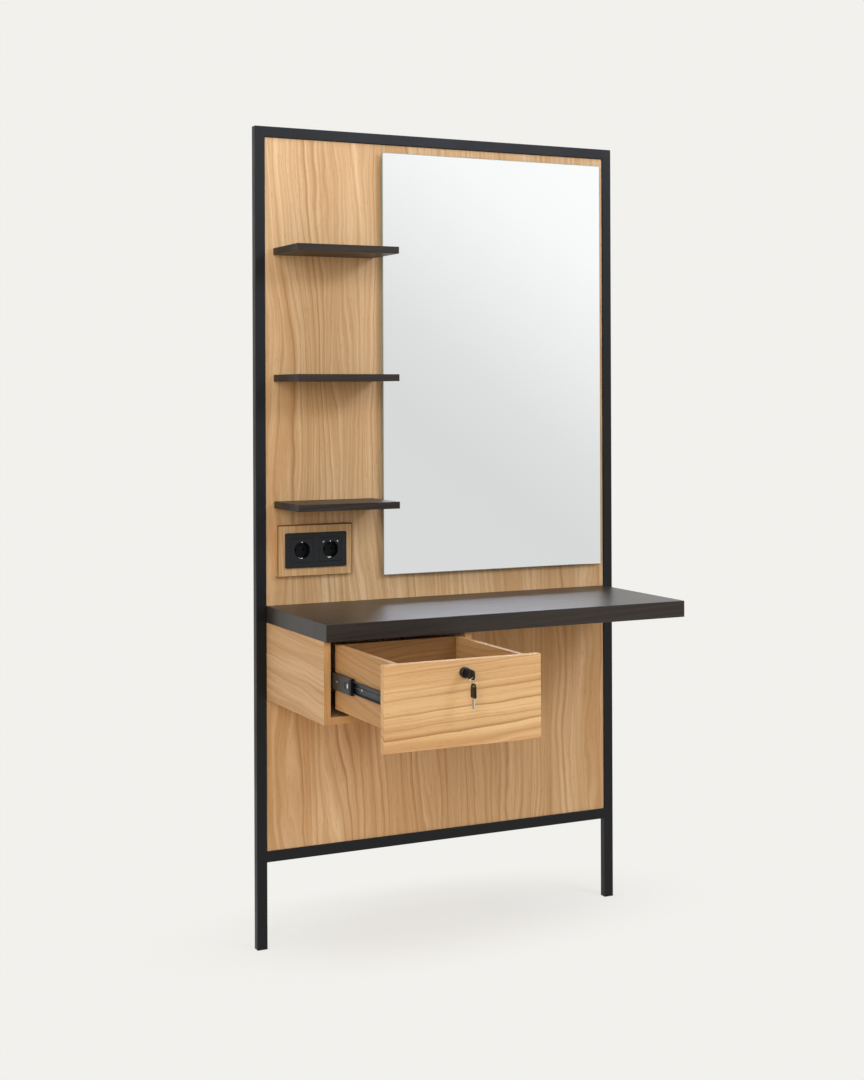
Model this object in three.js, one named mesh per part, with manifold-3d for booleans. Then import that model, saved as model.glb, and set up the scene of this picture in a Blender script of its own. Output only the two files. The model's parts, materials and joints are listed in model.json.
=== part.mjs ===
// Salon styling station: a black tube frame with a wood panel, mirror, shelves, worktop, lockable drawer
// and a double socket. Millimetres. X runs to the right as the user sees it, Y to the wall, Z up.
// The origin is on the floor, at the foot of the wall, in the middle of the station's width.
import * as THREE from "three";
import { mergeVertices } from "three/addons/utils/BufferGeometryUtils.js";
import Module from "manifold-3d";

const wasm = await Module();
wasm.setup();

// ---- Driving dimensions ----
const GAP = 0.3; // play between pieces that rest on each other
const STATION_WIDTH = 960;
const STATION_HEIGHT = 1900;
const TUBE_WIDTH = 25;
const TUBE_DEPTH = 20;
const TUBE_WALL = 1.5;
const LOWER_RAIL_UNDERSIDE = 200;
const WALL_PLATE_THICKNESS = 2.7;
const FRAME_BACK = -(WALL_PLATE_THICKNESS + GAP);
const FRAME_FRONT = FRAME_BACK - TUBE_DEPTH;
const BOARD = 16; // carcass, panel and shelf board
const PANEL_BACK = FRAME_BACK;
const PANEL_FRONT = PANEL_BACK - BOARD;
const INSIDE_X = STATION_WIDTH / 2 - TUBE_WIDTH; // inner faces of the two posts

const WORKTOP_TOP = 792;
const WORKTOP_THICKNESS = 38;
const WORKTOP_UNDERSIDE = WORKTOP_TOP - WORKTOP_THICKNESS;
const WORKTOP_FRONT = FRAME_FRONT - 360;

const MIRROR_FRONT = FRAME_FRONT - 14;
const MIRROR = { left: -165, right: 439, bottom: 850, top: 1855, glass: 5, inset: 30 };

const SHELF = { left: -434, right: -184, front: FRAME_FRONT - 150, tops: [1033, 1326, 1619] };
const SHELF_ROD = { radius: 4, reach: 100, fromEnd: 45, sides: 16 };
const SUPPORT = { fromEnd: 25, plate: 4, height: 30 };

const CABINET_X = -278; // middle of the cabinet, drawer and lock
const CABINET_HALF = INSIDE_X - GAP + CABINET_X; // half of its outside width
const CABINET_FRONT = FRAME_FRONT - 345;
const CABINET_UNDERSIDE = 576;

const SLIDE_THICKNESS = 12.7;
const SLIDE_LENGTH = 300;
const SLIDE_CENTRE_Z = 671;
const DRAWER_OPEN = 293.5; // how far the drawer stands open
const DRAWER_SEAM = 0.5; // between the shut drawer front and the cabinet
const DRAWER_WALL = 12;
const DRAWER_HALF = CABINET_HALF - BOARD - SLIDE_THICKNESS; // half of its outside width
const DRAWER_FACE = CABINET_FRONT - BOARD - DRAWER_SEAM - DRAWER_OPEN; // front face of the drawer front
const DRAWER_FRONT = { bottom: 573, top: 747, half: CABINET_HALF + GAP };
const DRAWER_SIDE = { bottom: 608, top: 746 };
const DRAWER_BOTTOM = { underside: 614, thickness: 4, groove: 5 };

const LOCK_Z = 721.5;
const KEY_REACH = 46; // from the drawer front's face to the far end of the key
const KEY = { bow: 29, height: 20, corner: 5, web: 2.6, collar: 4, blade: 18 };
const BOW_SLOT = { inset: 5, half: 5.5, width: 3.2 }; // its middle from the bow's far end, and its size
const KEY_PAD = { thickness: 5.2, margin: 1.5, corner: 3 };
const KEY_COLLAR = { halfThickness: 2.2, halfHeight: 5.5 };
const KEY_BLADE = { halfThickness: 1, halfHeight: 3.75 };
const RING = { radius: 8.2, wire: 0.6, drop: 4.9 }; // its centre hangs this far below the key's strip
const CAM = { length: 38, tail: 8.5, width: 11, corner: 4, thickness: 2, behindFace: 23.8 };

const SOCKET = { x: -338, z: 918.5, spacing: 71, frameWidth: 152, frameHeight: 81, frameThickness: 6 };
const SOCKET_BOARD = { width: 188, height: 119, thickness: BOARD };
const SOCKET_BOARD_FRONT = PANEL_FRONT - SOCKET_BOARD.thickness;
const BACK_BOX = { width: 142, height: 66, depth: 32, wall: 2 };
const BOX_PLAY = 1; // between the box and its openings in the two boards

// ---- Materials ----
const finish = (name, color, roughness, metalness) =>
  Object.assign(new THREE.MeshStandardMaterial({ color, roughness, metalness }), { name });
const lightWood = finish("light_wood", 0xc9a06a, 0.55, 0);
const darkWood = finish("dark_wood", 0x3a302a, 0.5, 0);
const blackSteel = finish("black_steel", 0x1f2124, 0.45, 0.3);
const mirrorGlass = finish("mirror_glass", 0xe8e9ea, 0.03, 1);
const zincSteel = finish("zinc_steel", 0xb8babc, 0.35, 1);
const slideSteel = finish("slide_steel", 0x3c4042, 0.4, 0.8);
const lockBlack = finish("lock_black", 0x141516, 0.35, 0.5);
const blackPlastic = finish("black_plastic", 0x1c1d1f, 0.4, 0);
const greyPlastic = finish("grey_plastic", 0x8a8c8e, 0.5, 0);
const fibreboard = finish("fibreboard", 0x7a5a3c, 0.8, 0);

// ---- Making pieces ----
const station = new THREE.Group();
station.name = "styling_station";

function assembly(name, parent = station, position = [0, 0, 0]) {
  const group = new THREE.Group();
  group.name = name;
  group.position.set(...position);
  parent.add(group);
  return group;
}

function piece(parent, name, geometry, material, position = [0, 0, 0]) {
  const mesh = new THREE.Mesh(geometry, material);
  mesh.name = name;
  mesh.position.set(...position);
  parent.add(mesh);
  return mesh;
}

// A box between two corners, as geometry.
function block([x0, y0, z0], [x1, y1, z1]) {
  const box = new THREE.BoxGeometry(x1 - x0, y1 - y0, z1 - z0);
  return box.translate((x0 + x1) / 2, (y0 + y1) / 2, (z0 + z1) / 2);
}

// A straight-edged board: its own box, placed by its middle.
function board(parent, name, low, high, material) {
  const size = high.map((value, axis) => value - low[axis]);
  const middle = high.map((value, axis) => (value + low[axis]) / 2);
  return piece(parent, name, new THREE.BoxGeometry(...size), material, middle);
}

// A round rod along Y from y0 to y1.
function rodAlongY(radius, y0, y1, sides, x = 0, z = 0) {
  return new THREE.CylinderGeometry(radius, radius, y1 - y0, sides).translate(x, (y0 + y1) / 2, z);
}

// A turned piece on the Y axis; the profile is [radius, y] pairs that start and end on the axis or close.
function turnedOnY(profile, sides) {
  return new THREE.LatheGeometry(profile.map(([r, y]) => new THREE.Vector2(r, y)), sides);
}

// An outline in X and Z, drawn out along Y from y0 to y1.
function outlineAlongY(shape, y0, y1, curveSegments = 8) {
  const options = { depth: y1 - y0, bevelEnabled: false, curveSegments };
  return new THREE.ExtrudeGeometry(shape, options).rotateX(Math.PI / 2).translate(0, y1, 0);
}

function closedShape(points) {
  return new THREE.Shape(points.map(([x, y]) => new THREE.Vector2(x, y)));
}

function roundedShape(x0, x1, y0, y1, radius) {
  const shape = new THREE.Shape();
  shape.moveTo(x0 + radius, y0);
  shape.lineTo(x1 - radius, y0);
  shape.absarc(x1 - radius, y0 + radius, radius, -Math.PI / 2, 0, false);
  shape.absarc(x1 - radius, y1 - radius, radius, 0, Math.PI / 2, false);
  shape.absarc(x0 + radius, y1 - radius, radius, Math.PI / 2, Math.PI, false);
  shape.absarc(x0 + radius, y0 + radius, radius, Math.PI, Math.PI * 1.5, false);
  return shape;
}

function solidOf(geometry) {
  const bare = geometry.clone();
  bare.deleteAttribute("normal");
  bare.deleteAttribute("uv");
  const merged = mergeVertices(bare, 1e-4);
  const vertProperties = merged.attributes.position.array;
  const triVerts = new Uint32Array(merged.index.array);
  return new wasm.Manifold(new wasm.Mesh({ numProp: 3, vertProperties, triVerts }));
}

function geometryOf(solid) {
  const mesh = solid.getMesh();
  const geometry = new THREE.BufferGeometry();
  geometry.setAttribute("position", new THREE.BufferAttribute(mesh.vertProperties, 3));
  geometry.setIndex(new THREE.BufferAttribute(mesh.triVerts, 1));
  geometry.computeVertexNormals();
  return geometry;
}

function joined(...parts) {
  return geometryOf(parts.map(solidOf).reduce((all, part) => all.add(part)));
}

function cut(body, ...tools) {
  return geometryOf(tools.map(solidOf).reduce((left, tool) => left.subtract(tool), solidOf(body)));
}

// ---- Frame: two posts, two rails and a plastic glide in each foot ----
const GLIDE = { flange: 3, top: 22 };

function buildFrame() {
  const frame = assembly("frame");
  const half = STATION_WIDTH / 2;
  const bore = { x: TUBE_WIDTH / 2 - TUBE_WALL, y: TUBE_DEPTH / 2 - TUBE_WALL };
  const tubeY = (FRAME_FRONT + FRAME_BACK) / 2;
  const postFoot = GLIDE.flange + GAP;
  const post = cut(
    block([-TUBE_WIDTH / 2, -TUBE_DEPTH / 2, postFoot], [TUBE_WIDTH / 2, TUBE_DEPTH / 2, STATION_HEIGHT]),
    block([-bore.x, -bore.y, 0], [bore.x, bore.y, STATION_HEIGHT - TUBE_WALL]),
  );
  const glide = joined(
    block([-TUBE_WIDTH / 2, -TUBE_DEPTH / 2, 0], [TUBE_WIDTH / 2, TUBE_DEPTH / 2, GLIDE.flange]),
    block([-bore.x + GAP, -bore.y + GAP, GLIDE.flange - 1], [bore.x - GAP, bore.y - GAP, GLIDE.top]),
  );
  for (const [side, x] of [["left", -half + TUBE_WIDTH / 2], ["right", half - TUBE_WIDTH / 2]]) {
    piece(frame, `frame_post_${side}`, post, blackSteel, [x, tubeY, 0]);
    piece(frame, `foot_glide_${side}`, glide, blackPlastic, [x, tubeY, 0]);
  }
  const reach = INSIDE_X - GAP;
  const rail = cut(
    block([-reach, -TUBE_DEPTH / 2, -TUBE_WIDTH / 2], [reach, TUBE_DEPTH / 2, TUBE_WIDTH / 2]),
    block([-reach - 1, -bore.y, -bore.x], [reach + 1, bore.y, bore.x]),
  );
  piece(frame, "frame_top_rail", rail, blackSteel, [0, tubeY, STATION_HEIGHT - TUBE_WIDTH / 2]);
  piece(frame, "frame_lower_rail", rail, blackSteel, [0, tubeY, LOWER_RAIL_UNDERSIDE + TUBE_WIDTH / 2]);
}

// ---- Panel, with its openings, and the four wall plates that tie it to the posts ----
const WALL_PLATE = { width: 66, height: 44, fromEdge: 4, zs: { lower: 300, upper: 1790 } };
// Both holes' places across the plate are from its middle, outwards; the keyhole's two ends are up from it.
const PLATE_HOLE = { screwX: -20, keyholeX: -6, entryZ: -3, neckZ: 7, head: 5, neck: 2.6 };
const HEAD_POCKET = { radius: 9, up: 2, depth: 9 }; // room in the panel for the wall screw's head
const PANEL_SCREW = { head: 4, shank: 2, length: 14, sunk: 0.4, rim: 0.2 };

// Half the outline of a countersunk screw that points to -Y; `play` makes it the outline of its hole.
function screwProfile(tip, play = 0, past = 0) {
  const { head, shank, sunk, rim } = PANEL_SCREW;
  const coneFoot = -sunk - (head - shank);
  const profile = [[0, tip], [shank + play, tip], [shank + play, coneFoot], [head + play, -sunk]];
  return past ? [...profile, [head + play, past], [0, past]] : [...profile, [head, -rim], [0, -rim]];
}

const corners = [];
for (const [level, z] of Object.entries(WALL_PLATE.zs))
  for (const [side, sign] of [["left", -1], ["right", 1]]) {
    const x = sign * (STATION_WIDTH / 2 - WALL_PLATE.fromEdge - WALL_PLATE.width / 2);
    corners.push({ name: `${level}_${side}`, x, z, sign });
  }

const shelfRodXs = [SHELF.left + SHELF_ROD.fromEnd, SHELF.right - SHELF_ROD.fromEnd];
const shelfMiddle = (top) => top - BOARD / 2;

// The plate of a shelf support, let into the panel's back; `play` widens it, `past` lengthens it backwards.
function supportPlate(z, play = 0, past = 0) {
  const { fromEnd, plate, height } = SUPPORT;
  const up = height / 2 + play;
  return block(
    [SHELF.left + fromEnd - play, PANEL_BACK - plate - play, z - up],
    [SHELF.right - fromEnd + play, PANEL_BACK + past, z + up],
  );
}

// Half the size of the opening that both boards have for the socket's box.
const boxOpening = { x: BACK_BOX.width / 2 + BOX_PLAY, z: BACK_BOX.height / 2 + BOX_PLAY };

function buildPanel() {
  const panel = assembly("panel");
  const reach = INSIDE_X - GAP;
  const bottom = LOWER_RAIL_UNDERSIDE + TUBE_WIDTH + GAP;
  const top = STATION_HEIGHT - TUBE_WIDTH - GAP;
  const tools = [
    block(
      [SOCKET.x - boxOpening.x, PANEL_FRONT - 1, SOCKET.z - boxOpening.z],
      [SOCKET.x + boxOpening.x, PANEL_BACK + 1, SOCKET.z + boxOpening.z],
    ),
  ];
  for (const shelfTop of SHELF.tops) {
    const z = shelfMiddle(shelfTop);
    for (const x of shelfRodXs)
      tools.push(rodAlongY(SHELF_ROD.radius + GAP, PANEL_FRONT - 1, PANEL_BACK + 1, SHELF_ROD.sides, x, z));
    tools.push(supportPlate(z, GAP, 1));
  }
  for (const { x, z, sign } of corners) {
    const screwX = x + sign * PLATE_HOLE.screwX;
    tools.push(rodAlongY(PANEL_SCREW.shank + GAP, -PANEL_SCREW.length - 1, PANEL_BACK + 1, 16, screwX, z));
    const keyX = x + sign * PLATE_HOLE.keyholeX;
    const pocketFloor = PANEL_BACK - HEAD_POCKET.depth;
    tools.push(rodAlongY(HEAD_POCKET.radius, pocketFloor, PANEL_BACK + 1, 20, keyX, z + HEAD_POCKET.up));
  }
  const whole = block([-reach, PANEL_FRONT, bottom], [reach, PANEL_BACK, top]);
  piece(panel, "back_panel", cut(whole, ...tools), lightWood);

  for (const { name, x, z, sign } of corners) {
    const half = { x: WALL_PLATE.width / 2, z: WALL_PLATE.height / 2 };
    const through = WALL_PLATE_THICKNESS + 1;
    const { head, neck, entryZ, neckZ } = PLATE_HOLE;
    const keyX = sign * PLATE_HOLE.keyholeX;
    const screwX = sign * PLATE_HOLE.screwX;
    const plate = cut(
      block([-half.x, -WALL_PLATE_THICKNESS, -half.z], [half.x, 0, half.z]),
      rodAlongY(head, -through, through, 20, keyX, entryZ),
      block([keyX - neck, -through, entryZ], [keyX + neck, through, neckZ]),
      rodAlongY(neck, -through, through, 20, keyX, neckZ),
      turnedOnY(screwProfile(-through, GAP, 1), 16).translate(screwX, 0, 0),
    );
    piece(panel, `wall_plate_${name}`, plate, zincSteel, [x, 0, z]);
    const screw = turnedOnY(screwProfile(-PANEL_SCREW.length), 16);
    piece(panel, `panel_screw_${name}`, screw, zincSteel, [x + screwX, 0, z]);
  }
}

// ---- Mirror on its set-back board ----
function buildMirror() {
  const mirror = assembly("mirror");
  const glassBack = MIRROR_FRONT + MIRROR.glass;
  const low = [MIRROR.left, MIRROR_FRONT, MIRROR.bottom];
  board(mirror, "mirror_glass", low, [MIRROR.right, glassBack, MIRROR.top], mirrorGlass);
  board(
    mirror,
    "mirror_backing",
    [MIRROR.left + MIRROR.inset, glassBack + GAP, MIRROR.bottom + MIRROR.inset],
    [MIRROR.right - MIRROR.inset, PANEL_FRONT - GAP, MIRROR.top - MIRROR.inset],
    fibreboard,
  );
}

// ---- Shelves, each on a hidden plate with two rods ----
function buildShelves() {
  const shelves = assembly("shelves");
  const back = PANEL_FRONT - GAP;
  const rodTip = back - SHELF_ROD.reach;
  const { radius, sides } = SHELF_ROD;
  SHELF.tops.forEach((top, index) => {
    const name = ["lower", "middle", "upper"][index];
    const middle = shelfMiddle(top);
    const holes = shelfRodXs.map((x) => rodAlongY(radius + GAP, rodTip - 1, back + 1, sides, x, middle));
    const slab = block([SHELF.left, SHELF.front, top - BOARD], [SHELF.right, back, top]);
    piece(shelves, `shelf_${name}`, cut(slab, ...holes), darkWood);
    const rods = shelfRodXs.map((x) => rodAlongY(radius, rodTip, PANEL_BACK - 1, sides, x, middle));
    piece(shelves, `shelf_support_${name}`, joined(supportPlate(middle), ...rods), zincSteel);
  });
}

// ---- Worktop, its strike plate and its two brackets ----
const STRIKE = { width: 70, depth: 26, thickness: 2, slotLeft: -25, slotRight: 9, slotDepth: 8 };
const MORTISE = 14; // how deep the slot goes up into the worktop
const CAM_CLOSED_Y = DRAWER_FACE + DRAWER_OPEN + CAM.behindFace + CAM.thickness / 2;
const BRACKET = { width: 30, thickness: 4, drop: 48, reach: 270, xs: { middle: 110, right: 400 } };

function buildWorktop() {
  const worktop = assembly("worktop");
  const under = WORKTOP_UNDERSIDE;
  const slot = (low, high) =>
    block(
      [CABINET_X + STRIKE.slotLeft, CAM_CLOSED_Y - STRIKE.slotDepth / 2, low],
      [CABINET_X + STRIKE.slotRight, CAM_CLOSED_Y + STRIKE.slotDepth / 2, high],
    );
  const half = { x: STRIKE.width / 2, y: STRIKE.depth / 2 };
  const rebate = block(
    [CABINET_X - half.x - GAP, CAM_CLOSED_Y - half.y - GAP, under - 1],
    [CABINET_X + half.x + GAP, CAM_CLOSED_Y + half.y + GAP, under + STRIKE.thickness + GAP],
  );
  const reach = INSIDE_X - GAP;
  const slab = block([-reach, WORKTOP_FRONT, under], [reach, PANEL_FRONT - GAP, WORKTOP_TOP]);
  piece(worktop, "worktop", cut(slab, rebate, slot(under - 1, under + MORTISE)), darkWood);
  const plate = block(
    [CABINET_X - half.x, CAM_CLOSED_Y - half.y, under],
    [CABINET_X + half.x, CAM_CLOSED_Y + half.y, under + STRIKE.thickness],
  );
  piece(worktop, "lock_strike", cut(plate, slot(under - 1, under + 5)), zincSteel);

  const top = under - GAP;
  const back = PANEL_FRONT - GAP;
  const side = BRACKET.width / 2;
  const angle = joined(
    block([-side, back - BRACKET.reach, top - BRACKET.thickness], [side, back, top]),
    block([-side, back - BRACKET.thickness, top - BRACKET.drop], [side, back, top]),
  );
  for (const [name, x] of Object.entries(BRACKET.xs))
    piece(worktop, `worktop_bracket_${name}`, angle, blackSteel, [x, 0, 0]);
}

// ---- Cabinet: two sides and a bottom, hung under the worktop ----
function buildCabinet() {
  const cabinet = assembly("cabinet", station, [CABINET_X, 0, 0]);
  const [front, back] = [CABINET_FRONT, PANEL_FRONT - GAP];
  const top = WORKTOP_UNDERSIDE - GAP;
  const inner = CABINET_HALF - BOARD;
  const low = CABINET_UNDERSIDE;
  board(cabinet, "cabinet_side_left", [-CABINET_HALF, front, low], [-inner, back, top], lightWood);
  board(cabinet, "cabinet_side_right", [inner, front, low], [CABINET_HALF, back, top], lightWood);
  const reach = inner - GAP;
  board(cabinet, "cabinet_bottom", [-reach, front, low], [reach, back, low + BOARD], lightWood);
}

// ---- Drawer box. Its group's origin is the middle of the drawer front's face, on the floor plane ----
const LOCK_BARREL = { radius: 8, bore: 6, head: 11, headProud: 10, chamfer: 1.2, length: 20.5 };

function buildDrawer() {
  const drawer = assembly("drawer", station, [CABINET_X, DRAWER_FACE, 0]);
  const lockHole = rodAlongY(LOCK_BARREL.radius + GAP, -1, BOARD + 1, 32, 0, LOCK_Z);
  const { half, bottom, top } = DRAWER_FRONT;
  const face = block([-half, 0, bottom], [half, BOARD, top]);
  const { underside, thickness, groove } = DRAWER_BOTTOM;
  const inner = DRAWER_HALF - DRAWER_WALL;
  const [near, far] = [BOARD + GAP, BOARD + GAP + SLIDE_LENGTH];
  const grooveCut = block(
    [-inner - groove, near - groove - GAP, underside],
    [inner + groove, far - DRAWER_WALL + groove, underside + thickness],
  );
  piece(drawer, "drawer_front", cut(face, lockHole, grooveCut), lightWood);

  const side = block([-DRAWER_WALL / 2, near, DRAWER_SIDE.bottom], [DRAWER_WALL / 2, far, DRAWER_SIDE.top]);
  for (const [name, sign] of [["left", -1], ["right", 1]]) {
    const x = sign * (DRAWER_HALF - DRAWER_WALL / 2);
    const grooved = cut(side.clone().translate(x, 0, 0), grooveCut);
    piece(drawer, `drawer_side_${name}`, grooved, lightWood);
  }
  const reach = inner - GAP;
  const backBoard = block([-reach, far - DRAWER_WALL, DRAWER_SIDE.bottom], [reach, far, DRAWER_SIDE.top]);
  piece(drawer, "drawer_back", cut(backBoard, grooveCut), lightWood);
  const play = groove - GAP;
  const low = [-inner - play, near - groove, underside + GAP];
  const high = [inner + play, far - DRAWER_WALL + play, underside + thickness - GAP];
  board(drawer, "drawer_bottom", low, high, fibreboard);
}

// ---- Ball slides. Their group's origin is the middle of the cabinet, at the slides' height ----
// Each member's section: its web's two faces, half its height (v), its flanges' reach (lip) and its sheet.
const OUTER = { web: [0.3, 1.5], v: 22.5, lip: 11, sheet: 1.2, length: 300, front: CABINET_FRONT + 2 };
const MIDDLE = { web: [2.7, 3.9], v: 17.5, lip: 11.2, sheet: 1.2, length: 240, front: -470 };
const INNER_FRONT = DRAWER_FACE + BOARD + 2 * GAP;
const INNER = { web: [11.2, 12.4], v: 13, lip: 5.2, sheet: 1.2, length: 299, front: INNER_FRONT };
const BALL_TO_LIP = 0.5; // from a ball's surface to the lip of its cage
const CAGES = {
  outer: { web: [1.8, 2.4], v: 19.7, lip: 9, sheet: 0.6, length: 110, front: -356, ball: 1.6, balls: 5 },
  inner: { web: [4.2, 4.8], v: 14.95, lip: 10, sheet: 0.6, length: 85, front: -455, ball: 1.35, balls: 4 },
};

// A channel of sheet steel on the left (side -1) or right (side 1) slide. u runs from the cabinet's side
// board to the drawer, and the flanges run from the web to u = lip.
function channel({ web: [u0, u1], v, lip, sheet, length, front }, side) {
  const inner = v - sheet;
  const [outside, inside] = lip > u1 ? [u0, u1] : [u1, u0]; // the web's plain face, and its flanged one
  const upperHalf = [[inside, inner], [lip, inner], [lip, v], [outside, v]];
  const lowerHalf = upperHalf.map(([u, z]) => [u, -z]).reverse();
  const outline = [...upperHalf, ...lowerHalf].map(([u, z]) => [slideX(u, side), z]);
  return outlineAlongY(closedShape(outline), front, front + length);
}

const slideX = (u, side) => side * (CABINET_HALF - BOARD - u);

function ballCage(cage, side) {
  const step = cage.length / cage.balls;
  const x = slideX(cage.lip - cage.ball - BALL_TO_LIP, side);
  const balls = [];
  for (let n = 0; n < cage.balls; n++)
    for (const z of [cage.v - GAP, GAP - cage.v])
      balls.push(new THREE.SphereGeometry(cage.ball, 6, 5).translate(x, cage.front + (n + 0.5) * step, z));
  return joined(channel(cage, side), ...balls);
}

function buildSlides() {
  const slides = assembly("slides", station, [CABINET_X, 0, SLIDE_CENTRE_Z]);
  for (const [name, side] of [["left", -1], ["right", 1]]) {
    piece(slides, `slide_outer_${name}`, channel(OUTER, side), slideSteel);
    piece(slides, `slide_middle_${name}`, channel(MIDDLE, side), slideSteel);
    piece(slides, `slide_inner_${name}`, channel(INNER, side), slideSteel);
    for (const [which, cage] of Object.entries(CAGES))
      piece(slides, `ball_cage_${which}_${name}`, ballCage(cage, side), zincSteel);
  }
}

// ---- Lock. Its group's origin is on the lock's axis, in the plane of the drawer front's face ----
const LOCK_NUT = { radius: 12, thickness: 3.5 };
const CAM_SCREW = { tip: 16, shank: 2, head: 4.6, headHeight: 2.4, chamfer: 0.6 };
const PLUG = { radius: 5.6, rear: 23.5, bossHalf: 3, boss: 2 };
const KEY_SLOT = { half: 1.35, halfHeight: 4.2, depth: 13 };

// The key as it lies in the lock: bow towards the user along -Y, blade along +Y, its tip at y = 0.
function keyGeometry() {
  const bowNear = -(KEY.blade + KEY.collar);
  const bowFar = bowNear - KEY.bow;
  // A shape drawn with Y across and Z up, given a thickness and stood in that plane, centred on it.
  const standing = (shape, thickness) => {
    const options = { depth: thickness, bevelEnabled: false, curveSegments: 5 };
    const axes = [[0, 1, 0], [0, 0, 1], [1, 0, 0]].map((axis) => new THREE.Vector3(...axis));
    const stand = new THREE.Matrix4().makeBasis(...axes);
    return new THREE.ExtrudeGeometry(shape, options).applyMatrix4(stand).translate(-thickness / 2, 0, 0);
  };
  const half = KEY.height / 2;
  const web = standing(roundedShape(bowFar, bowNear, -half, half, KEY.corner), KEY.web);
  const padFar = bowFar + BOW_SLOT.inset * 2 + 1;
  const { margin, corner } = KEY_PAD;
  const pad = standing(
    roundedShape(padFar, bowNear - margin, margin - half, half - margin, corner),
    KEY_PAD.thickness,
  );
  const collar = block(
    [-KEY_COLLAR.halfThickness, bowNear - 1, -KEY_COLLAR.halfHeight],
    [KEY_COLLAR.halfThickness, bowNear + KEY.collar, KEY_COLLAR.halfHeight],
  );
  const blade = block(
    [-KEY_BLADE.halfThickness, bowNear, -KEY_BLADE.halfHeight],
    [KEY_BLADE.halfThickness, 0, KEY_BLADE.halfHeight],
  );
  const slotMiddle = bowFar + BOW_SLOT.inset;
  const slotHalf = BOW_SLOT.width / 2;
  const slotCorner = 0.99 * slotHalf; // just under a full half round, so that no edge has zero length
  const slot = standing(
    roundedShape(slotMiddle - slotHalf, slotMiddle + slotHalf, -BOW_SLOT.half, BOW_SLOT.half, slotCorner),
    KEY.web + 2,
  );
  return cut(joined(web, pad, collar, blade), slot);
}

const KEY_LENGTH = KEY.bow + KEY.collar + KEY.blade;
const RING_Y = -KEY_REACH + BOW_SLOT.inset; // from the drawer front's face
const STRIP_Z = -(BOW_SLOT.half + KEY.height / 2) / 2; // middle of the key's strip that the ring goes round
const RING_Z = STRIP_Z - RING.drop; // the ring's centre
// The spare key hangs with the far edge of its slot just above the ring's lowest wire.
const SPARE_SLOT_Z = RING_Z - RING.radius + RING.wire + GAP - BOW_SLOT.width / 2;

function buildLock() {
  const lock = assembly("lock", station, [CABINET_X, DRAWER_FACE, LOCK_Z]);
  const { radius, bore, head, headProud, chamfer, length } = LOCK_BARREL;
  const housingProfile = [
    [bore, -headProud], [head - chamfer, -headProud], [head, chamfer - headProud], [head, -GAP],
    [radius, -GAP], [radius, length], [bore, length], [bore, -headProud],
  ];
  piece(lock, "lock_housing", turnedOnY(housingProfile, 32), lockBlack);
  const nutNear = BOARD + GAP;
  const nut = cut(
    rodAlongY(LOCK_NUT.radius, nutNear, nutNear + LOCK_NUT.thickness, 6),
    rodAlongY(radius + GAP, nutNear - 1, nutNear + LOCK_NUT.thickness + 1, 32),
  );
  piece(lock, "lock_nut", nut, zincSteel);

  const { bossHalf, rear, boss } = PLUG;
  const plug = joined(
    rodAlongY(PLUG.radius, -headProud, rear, 32),
    block([-bossHalf, rear - 1, -bossHalf], [bossHalf, rear + boss, bossHalf]),
  );
  const keyway = block(
    [-KEY_SLOT.half, -headProud - 1, -KEY_SLOT.halfHeight],
    [KEY_SLOT.half, KEY_SLOT.depth, KEY_SLOT.halfHeight],
  );
  const screwHole = rodAlongY(CAM_SCREW.shank + GAP, CAM_SCREW.tip - GAP, rear + boss + 1, 16);
  piece(lock, "lock_plug", cut(plug, keyway, screwHole), lockBlack);

  const { behindFace, thickness, width } = CAM;
  const camShape = roundedShape(-CAM.length, CAM.tail, -width / 2, width / 2, CAM.corner);
  const camPlate = outlineAlongY(camShape, behindFace, behindFace + thickness, 5);
  const fit = bossHalf + GAP;
  const square = block([-fit, behindFace - 1, -fit], [fit, behindFace + thickness + 1, fit]);
  piece(lock, "lock_cam", cut(camPlate, square), zincSteel);
  const headNear = behindFace + thickness + GAP;
  const headFar = headNear + CAM_SCREW.headHeight;
  const camScrewProfile = [
    [0, CAM_SCREW.tip], [CAM_SCREW.shank, CAM_SCREW.tip], [CAM_SCREW.shank, headNear],
    [CAM_SCREW.head, headNear], [CAM_SCREW.head - CAM_SCREW.chamfer, headFar], [0, headFar],
  ];
  piece(lock, "cam_screw", turnedOnY(camScrewProfile, 16), zincSteel);

  const key = keyGeometry();
  piece(lock, "key_in_lock", key, blackPlastic, [0, KEY_LENGTH - KEY_REACH, 0]);
  const ring = new THREE.TorusGeometry(RING.radius, RING.wire, 8, 32).rotateX(Math.PI / 2);
  piece(lock, "key_ring", ring, zincSteel, [0, RING_Y, RING_Z]);
  const hanging = assembly("hanging_key", lock, [0, RING_Y, SPARE_SLOT_Z]);
  hanging.rotation.x = -Math.PI / 2; // the key's bow points up and its blade down
  piece(hanging, "spare_key", key, blackPlastic, [0, KEY_LENGTH - BOW_SLOT.inset, 0]);
}

// ---- Double socket on its raised board ----
const INSERT = { size: 55, seam: 0.4, well: 19.5, wellDepth: 17, cup: 23, blockHalf: 19, blockDepth: 12 };
const PIN_HOLE = { radius: 2.6, spacing: 19, endWall: 3 };
const CABLE_ENTRY = { radius: 8, up: 14 };
// The strap is a U. Its legs start `legs` behind the face, and each has a bump from `bump` to twice that.
const EARTH = { halfWidth: 3, strip: 0.8, contact: 18.2, outside: 20.4, legs: 2.4, bump: 4, under: 2.1 };
const STRAP_ROOM = 0.4; // play round the strap in its insert

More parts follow.
